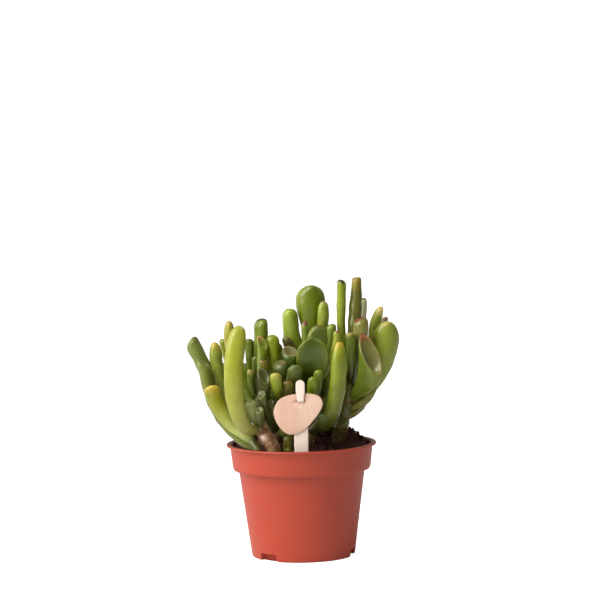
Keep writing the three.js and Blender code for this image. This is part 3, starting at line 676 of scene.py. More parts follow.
# %% [markdown]
# ## Leaves
# The leaves of this jade are rolled: some are fingers with a rounded tip, some trumpets with a cupped
# slanting mouth, some broad paddles. Each is a section carried along a midrib. The midrib is a cubic from its
# root on the stem to its tip, and two leans set how it leaves and how it arrives. The section is an ellipse
# whose width follows the form. A leaf is one row, so it can be corrected by hand. The rows at the front
# follow the photograph. Those at the back, which it doesn't show, are guessed after them.
# A row has its share of the way up the stem, the tip, the two leans in degrees, width and thickness, form,
# turn about the midrib in degrees, the tone of the skin and the name of the colour at the tip.

# %% Leaf tables
SHOOTS = {
    "shoot_low_left": {
        "stem": [(-23.1, -28, 56), (-25.5, -27.5, 65), (-28.5, -24.5, 71), (-34, -17, 77), (-40, -8, 85)],
        "radii": (3.6, 2.2),
        "leaves": [
            (0.4, (-52.6, -23, 105.6), (52, 10), (9.8, 7), "stub", 90, "honey", "gold"),
            (0.27, (-57, -16, 119), (66, 6), (9.4, 7.5), "trumpet", 0, "sage", "ash"),
            (0.96, (-65.2, -4, 131.4), (40, 30), (9.8, 9), "stub", 180, "sage", "umber"),
            (0.88, (-50.2, -6, 130), (30, -2), (9, 7.4), "pointed", 0, "sap", "gold"),
        ],
    },
    "shoot_front_left": {
        "stem": [(-21.7, -25.9, 77), (-23.4, -25.3, 80.5), (-24.4, -22, 94), (-24, -16, 108)],
        "radii": (4.3, 2),
        "leaves": [
            (0.14, (-34, -35, 141.8), (116, -34), (11.6, 8), "pointed", 54, "lime", "cream"),
            (0.2, (-29.4, -31, 97.2), (75, -5), (7.2, 7), "stub", 180, "mist", "plain"),
            (0.13, (-24.2, -39, 93), (70, 0), (5.3, 5), "trumpet", 180, "moss", "plain"),
            (0.6, (-21.2, -26.5, 111.5), (60, 0), (8.8, 8), "gaping", 180, "moss", "plain"),
            (0.82, (-21.8, -18, 120.5), (40, 0), (5.5, 5.5), "finger", 180, "olive", "umber"),
            (0.65, (-29.1, -22, 114.8), (50, -4), (4.8, 4.6), "finger", 0, "deep", "straw"),
            (0.45, (-34, -14, 116), (60, 0), (7.5, 7), "finger", 0, "deep", "plain"),
            (0.95, (-22, -10, 130), (20, 0), (7.6, 6.4), "gaping", 60, "green", "peach"),
        ],
    },
    "shoot_centre": {
        "stem": [(-13.5, -14, 71.9), (-13.8, -13.9, 76), (-11, -11, 90), (-7, -7, 104)],
        "radii": (3, 2),
        "leaves": [
            (0.06, (-23, -33.5, 101.6), (24, 14), (5.6, 5.6), "trumpet", 180, "moss", "plain"),
            (0.12, (-8.5, -28, 84), (95, 0), (7, 6), "finger", 0, "sage", "umber"),
            (0.6, (-14.4, -34.5, 114), (66, 12), (6.8, 6.6), "finger", 0, "leek", "amber"),
            (0.5, (-7.1, -27, 108.5), (60, 0), (6.5, 5.5), "finger", 180, "olive", "umber"),
            (0.8, (-11.7, -18, 118.5), (30, 5), (9.6, 8.6), "stub", 180, "bottle", "blush"),
            (0.8, (-2.8, -25, 117.5), (50, 0), (9, 7.5), "finger", 0, "bottle", "ash"),
            (0.95, (-5.6, -13, 124.8), (25, -6), (11, 10.5), "trumpet", 180, "pine", "blush"),
            (0.35, (-15.8, -5, 133.5), (10, 0), (7.6, 6.6), "finger", 0, "fresh", "plain"),
            (0.1, (-25, -8, 100), (75, 0), (9.5, 8.5), "finger", 0, "bottle", "plain"),
            (0.18, (-29, -9, 79), (106, 60), (9, 8.5), "finger", 0, "bottle", "plain"),
        ],
    },
    "shoot_middle": {
        "stem": [(5, -9, 71.9), (4.8, -8.6, 76), (4, -6, 90), (4, -3, 110)],
        "radii": (3, 1.8),
        "leaves": [
            (0.1, (13.5, -25, 88), (70, 0), (8, 6.5), "finger", 0, "bottle", "plain"),
            (0.12, (23.4, -29, 131), (95, 0), (10.6, 9), "tapered", 0, "leek", "gold"),
            (0.05, (14, -10, 96), (60, 0), (8.5, 7), "finger", 0, "bottle", "plain"),
            (0.4, (7.7, -27, 110.5), (70, 0), (7, 6), "finger", 0, "green", "plain"),
            (0.5, (11, -22, 114), (60, 0), (6, 5), "finger", 0, "jade", "plain"),
            (0.7, (8.6, -19, 133), (50, 8), (19.8, 7), "cupped", 160, "pine", "plain"),
            (0.95, (3.6, 0, 141.2), (10, 0), (4.5, 4), "pointed", 0, "jade", "wine"),
            (0.6, (11.5, -4, 139), (30, 0), (14, 8), "paddle", 90, "fern", "umber"),
            (0.3, (17, -1, 124), (60, 0), (9, 8), "finger", 0, "deep", "plain"),
            (0.8, (19.2, -4, 139.4), (40, 0), (6.5, 6), "finger", 0, "jade", "plain"),
            (0.7, (22.5, -14, 136.5), (50, 0), (5, 4.5), "finger", 0, "lime", "umber"),
        ],
    },
    "shoot_right": {
        "stem": [(23.7, 1, 75.6), (28, -2, 92), (30, -2, 104), (30.3, -1, 114)],
        "radii": (4.4, 3.2),
        "leaves": [
            (0.15, (38, 2, 91), (60, 50), (8, 6), "finger", 0, "olive", "plain"),
            (0.3, (43.5, -2, 101), (80, 30), (10, 7), "finger", 0, "olive", "plain"),
            (0.4, (53.2, 2, 139.8), (75, 2), (17, 7.5), "paddle", -80, "apple", "amber"),
            (0.46, (42.4, -14, 122), (62, 8), (17, 11), "ear", 106, "jade", "crimson"),
            (0.7, (30.3, -11, 134.6), (50, 0), (7.5, 7), "finger", 0, "night", "amber"),
            (0.9, (26, 0, 165.5), (20, 0), (6, 5.4), "finger", 0, "fresh", "dark"),
            (0.98, (35, 3, 166.4), (8, 1), (7.8, 7.4), "post", 0, "bronze", "toffee"),
            (0.9, (37, -6, 143), (20, 0), (9.6, 9.2), "finger", 90, "russet", "wine"),
        ],
    },
    "shoot_back": {
        "stem": [(7, 18, 73.4), (8, 16, 92), (8, 12, 112)],
        "radii": (2.9, 1.8),
        "leaves": [
            (0.95, (-7.4, 4, 131.5), (50, 0), (6, 6), "finger", 0, "withered", "withered"),
            (0.9, (-5, 12, 147.7), (38, -6), (9.8, 8.6), "finger", 90, "pale", "plain"),
            (0.95, (14.7, 4.5, 152.5), (30, 0), (7.4, 6.4), "pointed", 0, "apple", "blush"),
            (0.95, (7.6, 15, 161.5), (5, 2), (18.5, 8), "paddle", 180, "green", "plain"),
            (0.12, (22, 10, 80), (105, 45), (9.5, 9.5), "finger", 0, "deep", "umber"),
            (0.22, (15, 30, 104), (70, 5), (10, 8), "finger", 0, "deep", "plain"),
            (0.2, (-16, 4, 104), (75, 0), (9, 8), "finger", 0, "deep", "umber"),
            (0.6, (18, 13, 122), (50, 0), (7, 6), "finger", 0, "green", "plain"),
        ],
    },
    "shoot_back_left": {
        "stem": [(-23, 9, 72.4), (-26, 6, 92), (-27, 3, 108)],
        "radii": (2.9, 1.8),
        "leaves": [
            (0.5, (-46.2, 14, 130), (50, 10), (5.5, 5), "finger", 0, "fresh", "plain"),
            (0.7, (-41.6, 4, 141.8), (50, -4), (7.8, 6.6), "pointed", 0, "sun", "amber"),
            (0.8, (-29.8, -4, 131.5), (40, 0), (5.6, 5.6), "finger", 0, "deep", "umber"),
            (0.8, (-26.5, -6, 121), (40, 0), (4.5, 4.5), "finger", 0, "sage", "plain"),
            (0.95, (-23, 6, 142.5), (20, 0), (9.4, 8), "finger", 0, "green", "dark"),
            (0.2, (-47, 34, 112), (75, 8), (9.5, 8), "trumpet", 0, "green", "rust"),
            (0.35, (-34, 42, 112), (75, 2), (10, 8), "finger", 0, "deep", "umber"),
            (0.6, (-21, 34, 125), (65, -4), (9, 7.5), "trumpet", 0, "fresh", "rust"),
            (0.25, (-50, 17, 106), (75, 12), (9, 7.5), "trumpet", 0, "sage", "umber"),
            (0.7, (-38, 20, 113), (60, 0), (8, 7), "trumpet", 0, "green", "umber"),
            (0.14, (-33, 5, 113), (50, 0), (9, 8), "finger", 0, "deep", "plain"),
            (0.45, (-18, 12, 118), (60, 0), (8, 7), "finger", 0, "deep", "umber"),
        ],
    },
    "shoot_back_right": {
        "stem": [(23.1, 21, 74.4), (24.4, 20.8, 79), (30, 19, 90), (35, 15, 110)],
        "radii": (2.9, 1.8),
        "leaves": [
            (0.9, (39.2, 19, 152.8), (12, 2), (5, 4.4), "finger", 0, "frost", "umber"),
            (0.8, (50.2, 20, 147.4), (50, 30), (8.6, 7), "tapered", 0, "leek", "butter"),
            (0.6, (52.6, 26, 140.5), (50, 8), (4.5, 4), "finger", 0, "frost", "rust"),
            (0.35, (44, 42, 112), (65, 8), (9, 7.5), "trumpet", 0, "deep", "rust"),
            (0.5, (26, 46, 124), (70, 0), (9.5, 8), "finger", 0, "green", "umber"),
            (0.7, (40, 34, 125), (50, 0), (8.5, 7), "trumpet", 0, "fresh", "wine"),
            (0.12, (29, 41, 98), (80, 10), (8.5, 7), "finger", 0, "deep", "umber"),
            (0.25, (40, 28, 110), (60, 5), (8.5, 7), "trumpet", 0, "green", "plain"),
        ],
    },
    "shoot_rear": {
        "stem": [(-6, 30, 71.4), (-5, 30, 92), (-4, 27, 112)],
        "radii": (2.9, 1.8),
        "leaves": [
            (0.2, (-16, 54, 104), (80, 4), (9, 7.5), "trumpet", 0, "green", "rust"),
            (0.4, (6, 56, 118), (75, -2), (9.5, 8), "finger", 0, "deep", "umber"),
            (0.7, (11, 42, 136), (50, -4), (8.5, 7), "trumpet", 0, "fresh", "rust"),
            (0.95, (-6, 32, 135), (20, 0), (8, 7), "finger", 0, "green", "umber"),
            (0.18, (14, 46, 96), (85, 10), (8, 7), "finger", 0, "deep", "wine"),
            (0.1, (-22, 44, 92), (85, 15), (7.5, 6.5), "finger", 0, "sage", "umber"),
            (0.08, (-1, 53, 91), (85, 20), (7.5, 6.5), "trumpet", 0, "green", "rust"),
            (0.8, (-14, 26, 127), (40, 0), (7, 6), "trumpet", 0, "deep", "plain"),
        ],
    },
}

# What the leaves with a domed tip share, what the flat ones share, and what the open trumpets share.
# Flare is a power, slant and skew are slopes, and the others are shares of the leaf's own measures.
DOMED = {"foot": 0.5, "flare": 1, "widest": 0.8, "mouth": 0.25, "cup": 0.2, "slant": 0.2, "skew": 0,
         "slant_from": 0.7, "curl": 0}
FLAT = {"dome": 0, "mouth": 0, "cup": 0, "slant": 0, "skew": 0, "slant_from": 0}
HOLLOWED = {**DOMED, "foot": 0.45, "widest": 0.95, "dome": 0.2}
FORMS = {
    "finger": {**DOMED, "dome": 0.42, "mouth": 0.35, "slant": 0.25},
    "pointed": {**DOMED, "dome": 0.95},
    "tapered": {**DOMED, "dome": 1.5},
    "post": {**DOMED, "dome": 3, "mouth": 0.66, "cup": 0.1, "slant": 0.15},
    "stub": {**DOMED, "widest": 0.95, "dome": 0.3, "mouth": 0.5, "cup": 0.15, "slant": 0.4},
    "trumpet": {**HOLLOWED, "mouth": 0.74, "cup": 0.45, "slant": 0.75},
    "gaping": {**HOLLOWED, "mouth": 0.7, "cup": 0.8, "slant": 1.5, "slant_from": 0.6},
    "ear": {**DOMED, "foot": 0.25, "flare": 1.2, "widest": 1, "dome": 0.06, "mouth": 0.88, "cup": 0.9,
            "slant": 0.95, "skew": -1.25, "slant_from": 0},
    "paddle": {**FLAT, "foot": 0.35, "flare": 2.2, "widest": 0.8, "curl": 0.22},
    "cupped": {**FLAT, "foot": 0.3, "flare": 1.5, "widest": 0.7, "curl": 0.42},
}

# Skin tones: the colour of the leaf's body and the colour that it fades to at its foot. Most feet are the
# leaf's own colour. A few carry painted light or painted shade, as marked below.
TONES = {
    "lime": ((160, 164, 46), (160, 158, 84)),
    "sun": ((150, 142, 34), (138, 132, 44)),
    # Painted light: honey's pale foot stands for light on the lower part of its leaf.
    "honey": ((144, 146, 30), (190, 200, 120)),
    "fresh": ((132, 144, 22), (112, 134, 28)),
    "apple": ((152, 166, 52), (112, 130, 30)),
    # Painted light, in part: sap's pale foot lifts a lower part that other leaves shade.
    "sap": ((148, 162, 58), (172, 178, 94)),
    # Painted shade, in part: leek's dark foot darkens lower parts that stand in shade among other leaves.
    "leek": ((148, 160, 36), (56, 70, 12)),
    "pale": ((142, 158, 48), (108, 128, 18)),
    "green": ((108, 126, 12), (88, 110, 12)),
    "jade": ((122, 140, 46), (98, 114, 26)),
    "russet": ((132, 130, 54), (100, 118, 28)),
    "deep": ((94, 110, 10), (66, 82, 8)),
    # Painted shade: night's very dark foot darkens a lower part that lies in shade.
    "night": ((96, 112, 8), (32, 38, 2)),
    "pine": ((60, 80, 2), (48, 60, 18)),
    "fern": ((92, 104, 38), (88, 92, 26)),
    "bottle": ((88, 100, 40), (58, 70, 20)),
    "moss": ((82, 88, 34), (78, 86, 34)),
    "sage": ((112, 122, 50), (110, 118, 58)),
    # Painted light, in part: mist is pale to lift a low leaf that lies in the shade of others.
    "mist": ((172, 178, 112), (146, 150, 88)),
    # Painted highlight, in part: frost's pale grey stands for glints on two small leaves at the back right.
    "frost": ((186, 186, 146), (150, 152, 96)),
    "olive": ((122, 115, 32), (106, 106, 30)),
    "bronze": ((98, 98, 28), (76, 88, 16)),
    "withered": ((104, 96, 48), (84, 76, 34)),
}

# The share of a leaf's length at which the foot's colour has faded out, for these tones and for the others.
# Leek and night fade over the whole length, so their painted shade reaches up the leaf.
FADES = {"leek": 1.05, "night": 1.05}
FADE = 0.75

# Colours of the hollow of a cup, where it differs from the skin outside.
HOLLOWS = {"jade": (122, 117, 68), "fresh": (128, 132, 46), "pine": (116, 106, 66), "moss": (94, 100, 46),
           "mist": (130, 136, 84)}
HOLLOW_SHARE = 0.8
EDGE_COLOUR = (132, 136, 30)  # warmer, for the edges of flat leaves
EDGE_SHARE = 0.6
STEM_GREEN = (86, 90, 32)
CREASE_REACH = 0.2  # the share of a leaf's length over which its root takes the stem's colour
CREASE_DEPTH = 0.7
TINT_SPREAD = 0.1

# Tip colours, how far down the leaf they reach in millimetres, and how strong they are.
TIPS = {
    "plain": ((120, 132, 56), 3, 0.3),
    "gold": ((206, 172, 62), 11, 0.65),
    "amber": ((190, 166, 84), 7, 0.6),
    "cream": ((206, 190, 140), 2.5, 0.7),
    "straw": ((168, 156, 80), 6, 0.75),
    "toffee": ((150, 128, 40), 18, 0.7),
    "butter": ((230, 210, 134), 12, 0.85),
    "peach": ((216, 164, 104), 6, 0.85),
    "blush": ((148, 112, 84), 3, 0.6),
    "rust": ((170, 116, 70), 4, 0.8),
    "umber": ((112, 76, 44), 2.6, 0.85),
    "dark": ((62, 36, 34), 3, 0.95),
    "wine": ((122, 56, 46), 4.5, 0.8),
    "crimson": ((160, 52, 36), 6, 0.9),
    "ash": ((126, 128, 100), 3, 0.4),
    "withered": ((70, 62, 30), 5, 0.5),
}
print("leaves:", sum(len(shoot["leaves"]) for shoot in SHOOTS.values()))

# %% [markdown]
# A leaf's outline is drawn in the plane of its axis: out from the root, round the dome, over the rim and down
# into the cup. The corner at the rim is too sharp for a fleshy leaf, so the outline is walked in even steps
# and each point becomes a weighted mean of its neighbours. The same outline serves the whole way round.
# The colours are worked out here too, point by point, because they follow the leaf's own length: the tone
# fades to the foot, the edges of flat leaves are warmer, the root takes the stem's green in a crease, and the
# hollow of a cup can have a colour of its own.

# %% Leaf outline and surface
LEAF_SIDES = 24
ROOT_REACH = 1.25
CURL_BY = 0.5
RIM_SOFTNESS = 0.05
OUTLINE_STEPS = 400
LEAF_RINGS = 44
UNEVEN = 0.03
UNEVEN_SIZE = 9.0
UNEVEN_WIDEST = 4  # half widths above this get no more unevenness


def leaf_outline(form, width, chord):
    """Distance along the axis, half width, and whether a point lies past the rim, in the cup."""
    shape = FORMS[form]
    flat = shape["dome"] == 0
    widest = shape["widest"] if flat else 1 - shape["dome"] * width / chord
    body = widest * np.linspace(0, 1, 80) ** 1.15
    full_by = widest if flat else widest * shape["widest"]
    swell = np.sin(pi / 2 * np.minimum(1, body / full_by) ** shape["flare"])
    body_half = shape["foot"] + (1 - shape["foot"]) * swell
    last = acos(shape["mouth"])
    angle = np.linspace(0, last, 60)[1:]
    dome = widest + (1 - widest) * np.sin(angle) / sin(last)
    dome_half = np.cos(angle)
    along, half = np.concatenate([body, dome]), np.concatenate([body_half, dome_half])
    past_rim = np.zeros(len(along))
    if shape["mouth"] > 0:
        inwards = np.linspace(1, 0, 40)[1:]
        depth = shape["cup"] * shape["mouth"] * width / 2 / chord
        along = np.concatenate([along, 1 - depth * (1 - inwards ** 2)])
        half = np.concatenate([half, shape["mouth"] * inwards])
        past_rim = np.concatenate([past_rim, np.ones(len(inwards))])
    return soften_outline(along * chord, half * width / 2, past_rim, width)


def soften_outline(along, half, past_rim, width):
    """The outline walked in even steps and averaged with a bell, then thinned to rings crowded at the tip.
    Before the root the values go on as they began. Past the end they run back, the half width negative."""
    walked = np.concatenate([[0], np.cumsum(np.hypot(np.diff(along), np.diff(half)))])
    even = np.linspace(0, walked[-1], OUTLINE_STEPS)
    step = even[1]
    reach = max(1, int(3 * RIM_SOFTNESS * width / step))
    bell = np.exp(-0.5 * (np.arange(-reach, reach + 1) * step / (RIM_SOFTNESS * width)) ** 2)
    bell /= bell.sum()
    softened = []
    for values, sign in ((along, 1), (half, -1), (past_rim, 1)):
        values = np.interp(even, walked, values)
        start = 2 * values[0] - values[reach:0:-1]
        finish = values[-2:-reach - 2:-1] * sign
        softened.append(np.convolve(np.concatenate([start, values, finish]), bell, "valid"))
    crowded = 1 - (1 - np.linspace(0, 1, LEAF_RINGS)) ** 1.35
    keep = np.unique(np.round((OUTLINE_STEPS - 1) * crowded).astype(int))[:-1]
    return [values[keep] for values in softened]


def midrib(root, tip, leans, t):
    """Points and directions on the cubic from root to tip, and the level direction across it.
    Its control points lie a third of the way in from each end, along the two leans from upright."""
    run = tip - root
    chord = np.linalg.norm(run)
    heading = unit(np.array([run[0], run[1], 0.0]))
    up = np.array([0.0, 0.0, 1.0])
    leaving, arriving = (heading * sin(lean) + up * cos(lean) for lean in np.radians(leans))
    p0, p1, p2, p3 = root, root + leaving * ROOT_REACH * chord / 3, tip - arriving * chord / 3, tip
    middle = (1 - t) ** 3 * p0 + 3 * (1 - t) ** 2 * t * p1 + 3 * (1 - t) * t ** 2 * p2 + t ** 3 * p3
    along = unit((1 - t) ** 2 * (p1 - p0) + 2 * (1 - t) * t * (p2 - p1) + t ** 2 * (p3 - p2))
    return middle, along, np.cross(up, heading)


def leaf_colours(tone, seed, reach, past_rim, edge_mask):
    """The skin's colour at each point: the tone and its foot, then the edge, the crease and the hollow."""
    body_colour, foot_colour = (linear(colour) for colour in TONES[tone])
    # The fade to the foot carries the painted shade and painted light of some tones' feet.
    toward_foot = (1 - smooth(reach / FADES.get(tone, FADE)))[:, None, None]
    tint = 1 + TINT_SPREAD * np.random.default_rng(seed).uniform(-1, 1)
    skin = np.broadcast_to((body_colour + (foot_colour - body_colour) * toward_foot) * tint,
                           edge_mask.shape + (3,))
    skin = skin + EDGE_SHARE * edge_mask[..., None] * (linear(EDGE_COLOUR) - skin)
    crease = CREASE_DEPTH * (1 - smooth(reach / CREASE_REACH))[:, None, None]
    skin = skin + crease * (linear(STEM_GREEN) - skin)
    if tone in HOLLOWS:
        skin = skin + HOLLOW_SHARE * past_rim[:, None, None] * (linear(HOLLOWS[tone]) - skin)
    return skin


def leaf_patch(stem, row, seed):
    """The section carried along the midrib, with the masks and the colours that the leaf skin reads."""
    share, tip, leans, (width, thickness), form, turn, tone, tip_name = row
    shape = FORMS[form]
    root = stem_line(stem, [share])[0][0]
    tip = np.array(tip, float)
    chord = np.linalg.norm(tip - root)
    outline_along, half_width, past_rim = leaf_outline(form, width, chord)
    t = np.clip(outline_along / chord, 0, 1)[:, None]
    middle, along, side = midrib(root, tip, leans, t)
    turned = radians(turn)
    face = np.cross(along, side)
    across = side * cos(turned) + face * sin(turned)
    inward = face * cos(turned) - side * sin(turned)

    angle = np.linspace(0, 2 * pi, LEAF_SIDES, endpoint=False)
    spread = half_width / (width / 2)
    half_thickness = thickness / 2 * (np.sqrt(spread) if shape["dome"] == 0 else spread)
    reach = np.maximum.accumulate(t[:, 0])
    bend = shape["curl"] * smooth(reach / CURL_BY) * half_width
    sideways = half_width[:, None] * np.cos(angle)
    out = half_thickness[:, None] * np.sin(angle) + bend[:, None] * np.cos(angle) ** 2
    onset = smooth((reach - shape["slant_from"]) / (1 - shape["slant_from"]))[:, None]
    fall = onset * (shape["slant"] * out + shape["skew"] * sideways)
    rings = (middle[:, None] + across[:, None] * sideways[..., None] + inward[:, None] * out[..., None]
             - along[:, None] * fall[..., None])
    outwards = unit(across[:, None] * np.cos(angle)[:, None] + inward[:, None] * np.sin(angle)[:, None])
    uneven = UNEVEN * waves(rings, seed, UNEVEN_SIZE) * np.minimum(half_width, UNEVEN_WIDEST)[:, None]
    rings = rings + outwards * (uneven * smooth(reach * 4)[:, None] * (1 - past_rim)[:, None])[..., None]

    tip_colour, tip_reach, strength = TIPS[tip_name]
    along_tip = (rings - tip) @ along[-1]
    from_tip = along_tip.max() - along_tip + 0.6 * waves(rings, seed + 7, 5.0)
    tip_mask = strength * smooth(1 - from_tip / tip_reach)
    rim_line = (4 * past_rim * (1 - past_rim)) ** 2 * (shape["cup"] > 0.4)
    flatness = np.clip(width / thickness - 1.1, 0, 0.4) / 0.4
    edge_mask = flatness * np.abs(np.cos(angle)) ** 3 * smooth(reach * 3)[:, None] * (1 - past_rim)[:, None]
    skin = leaf_colours(tone, seed, reach, past_rim, edge_mask)
    return tube(rings, root, middle[-1], woody=0 * tip_mask, scar=0 * tip_mask, skin=skin,
                cap=np.broadcast_to(linear(tip_colour), skin.shape), tip=tip_mask, rim=rim_line)


print("rings in a finger:", len(leaf_outline("finger", 8, 30)[0]))

# %% [markdown]
# ## Leaf skin
# The skin is waxy over a watery flesh, so light sinks in and glows at thin edges, and the gloss is soft.
# Subsurface scattering gives the glow. The colours come from the mesh: the skin's own, the tip's cap, a fine
# paler line round a cup's rim, and the bark of old stems. Pale dots are the pores that succulents have.
# No colour here depends on where the camera stands, so a leaf keeps its colours in every view.

# %% Bark and leaf skin
BARK_TOP = 84
GREEN_TO_FOOT = 58
ALL_BARK = 200  # a height above every foot
FOOT_TAPER = 0.96
FOOT_OVERLAP = 2.5
BARK_COLOURS = {"cork": (132, 92, 56), "flake": (196, 156, 120), "crack": (70, 44, 26), "scar": (96, 48, 34),
                "young": (68, 68, 26), "bare": (250, 226, 204)}
PORE_COLOUR = (196, 200, 140)
RIM_COLOUR = (214, 206, 150)
LEAF_SCAR_COLOUR = (112, 56, 36)
# The pale spot on the front foot is partly bare wood and partly a painted highlight.
SPOTS = {
    "foot_front_left": [("bare", (-22.8, -30, 75.2), 2.3), ("scar", (-25, -28.5, 78.5), 2)],
    "shoot_right": [("scar", (29, -5.5, 92.9), 1.8)],
}
YOUNG_FEET = {"foot_right": 1.0, "foot_centre": 0.7, "foot_middle": 0.5}


bark_group, given, result = new_group("bark", {"Scale": 240.0}, ["Pale", "Crack", "Height"])
place = bark_group.nodes.new("ShaderNodeTexCoord")
stretched = node(bark_group, "Mapping", {"Vector": place.outputs["Object"], "Scale": (1, 1, 0.45)})
flakes = node(bark_group, "TexNoise", {
    "Vector": stretched.outputs[0], "Scale": given.outputs["Scale"], "Detail": 5.0, "Roughness": 0.6})
cells = node(bark_group, "TexVoronoi", {
    "Vector": stretched.outputs[0], "Scale": times(bark_group, given.outputs["Scale"], 2.0)},
    feature="DISTANCE_TO_EDGE")
crack = times(bark_group, ramp(bark_group, cells.outputs["Distance"], 0.08, 0.0), 0.35)
pale = ramp(bark_group, flakes.outputs["Fac"], 0.42, 0.62)
height = reckon(bark_group, "SUBTRACT", flakes.outputs["Fac"], times(bark_group, crack, 0.4))
bark_group.links.new(pale, result.inputs["Pale"])
bark_group.links.new(crack, result.inputs["Crack"])
bark_group.links.new(height, result.inputs["Height"])


def bark_colour(tree, scar):
    """Brown cork with pale flakes, dark cracks and reddish leaf scars, and its bump height."""
    made = add_group(tree, bark_group)
    cork, flake, dark, red = (linear(BARK_COLOURS[name]) for name in ("cork", "flake", "crack", "scar"))
    colour = mix(tree, made.outputs["Pale"], cork, flake)
    colour = mix(tree, made.outputs["Crack"], colour, dark)
    colour = mix(tree, times(tree, scar, 0.6), colour, red)
    return colour, made.outputs["Height"]


leaf_skin, tree, shader = new_material("leaf_skin", 0.4, Specular_IOR_Level=0.5,
                                       Specular_Tint=(1, 1, 0.6, 1), Subsurface_Weight=0.3,
                                       Subsurface_Radius=(1.0, 0.9, 0.25), Subsurface_Scale=0.0022,
                                       Coat_Weight=0.5, Coat_Roughness=0.2)
blotches = add_mottle(tree, scale=130, low=0.86, high=1.14)
fine = add_mottle(tree, scale=900, low=0.94, high=1.06)
cap, scar, woody = attribute(tree, "cap", "Color"), attribute(tree, "scar"), attribute(tree, "woody")
colour = shaded(tree, attribute(tree, "skin", "Color"), blotches.outputs["Factor"])
colour = shaded(tree, colour, fine.outputs["Factor"])
pores = node(tree, "TexVoronoi", {"Vector": tree.nodes.new("ShaderNodeTexCoord").outputs["Object"],
                                  "Scale": 620.0, "Randomness": 0.8})
dots = ramp(tree, pores.outputs["Distance"], 0.22, 0.1)
colour = mix(tree, times(tree, dots, 0.16), colour, linear(PORE_COLOUR))
frayed = times(tree, reckon(tree, "SUBTRACT", fine.outputs["Noise"], 0.5), 0.5)
broken = reckon(tree, "ADD", attribute(tree, "tip"), frayed)
cap_share = times(tree, ramp(tree, broken, 0.15, 0.75), attribute(tree, "tip"))
colour = mix(tree, reckon(tree, "MULTIPLY", cap_share, 1.2, True), colour, cap)
rim_colour = mix(tree, 0.5, cap, linear(RIM_COLOUR))
colour = mix(tree, times(tree, attribute(tree, "rim"), 0.5), colour, rim_colour)
colour = mix(tree, times(tree, scar, 0.6), colour, linear(LEAF_SCAR_COLOUR))
bark_skin, bark_height = bark_colour(tree, scar)
rough = reckon(tree, "MAXIMUM", stretch(tree, blotches.outputs["Noise"], 0.3, 0.46), times(tree, woody, 0.85))
feed(tree, shader, Base_Color=mix(tree, woody, colour, bark_skin), Roughness=rough)
leaf_relief = reckon(tree, "SUBTRACT", times(tree, blotches.outputs["Noise"], 0.25), times(tree, dots, 0.06))
relief = reckon(tree, "ADD", times(tree, woody, bark_height), leaf_relief)
add_bump(tree, shader, relief, strength=0.5, distance=0.0005)
print("leaf skin:", len(tree.nodes), "nodes")

# %% [markdown]
# Each shoot is one piece: its stem and all its leaves, whose roots sink into the stem. The stem carries the
# same masks as the leaves, with its own green, so one material dresses the whole shoot. The centre shoot has
# one short green stem beside it. The feet are bark, which is greener on the younger ones.

# %% Make the shoots
SIDE_STEMS = {"shoot_centre": ([(-7.6, -21.5, 60), (-7.9, -21.5, 74), (-9, -19, 90)], 3.1, 2.6)}
SIDE_STEM_COLOUR = (142, 138, 50)
SIDE_STEM_SEED = 40
GREEN_SHOOTS = ("shoot_right", "shoot_low_left")


def green_stem(line, low_radius, high_radius, bark_top, seed, colour, spots=()):
    """A stem with the masks of the leaves, in one green that has no tip or rim."""
    green = linear(colour)
    return stem_patch(line, low_radius, high_radius, bark_top, seed, spots,
                      skin=green, cap=green, tip=0.0, rim=0.0)


for number, (name, shoot) in enumerate(SHOOTS.items()):
    bark_top = GREEN_TO_FOOT if name in GREEN_SHOOTS else BARK_TOP
    patches = [green_stem(shoot["stem"], *shoot["radii"], bark_top, number, STEM_GREEN, SPOTS.get(name, ()))]
    if name in SIDE_STEMS:
        patches.append(green_stem(*SIDE_STEMS[name], 0, SIDE_STEM_SEED, SIDE_STEM_COLOUR))
    for row, leaf in enumerate(shoot["leaves"]):
        patches.append(leaf_patch(shoot["stem"], leaf, 100 * number + row))
    make_piece(name.replace("shoot", "leaves"), patches, leaf_skin, [name])

bark, tree, shader = new_material("bark", 0.85, Specular_IOR_Level=0.25)
colour, height = bark_colour(tree, attribute(tree, "scar"))
colour = mix(tree, times(tree, attribute(tree, "young"), 0.85), colour, linear(BARK_COLOURS["young"]))
# Partly painted highlight: a near-white spot near the top of the front foot.
colour = mix(tree, attribute(tree, "bare"), colour, linear(BARK_COLOURS["bare"]))
feed(tree, shader, Base_Color=colour)
add_bump(tree, shader, height, strength=0.5, distance=0.0006)
for number, (name, (points, radius)) in enumerate(FEET.items()):
    run = np.array(points[-1], float) - points[-2]
    line = [*points, points[-1] + FOOT_OVERLAP * unit(run)]
    foot = stem_patch(line, radius, FOOT_TAPER * radius, ALL_BARK, 20 + number, SPOTS.get(name, ()),
                      bare=0.0, young=YOUNG_FEET.get(name, 0.0))
    make_piece(name.replace("foot", "woody_foot"), [foot], bark, [name])

# %% [markdown]
# ## The label
# A plant label of thin birch veneer: a rounded card with a slot, and a stick that stands behind the card,
# steps forward through the slot and ends in a tongue. Both are laser cut. The card is a grid that runs from
# the slot's edge out to the rim on the front, over the edge and back again, so it closes on itself. The slot
# is narrower than in the solids, where it showed as a dark bar under the tongue. The wood is bare.

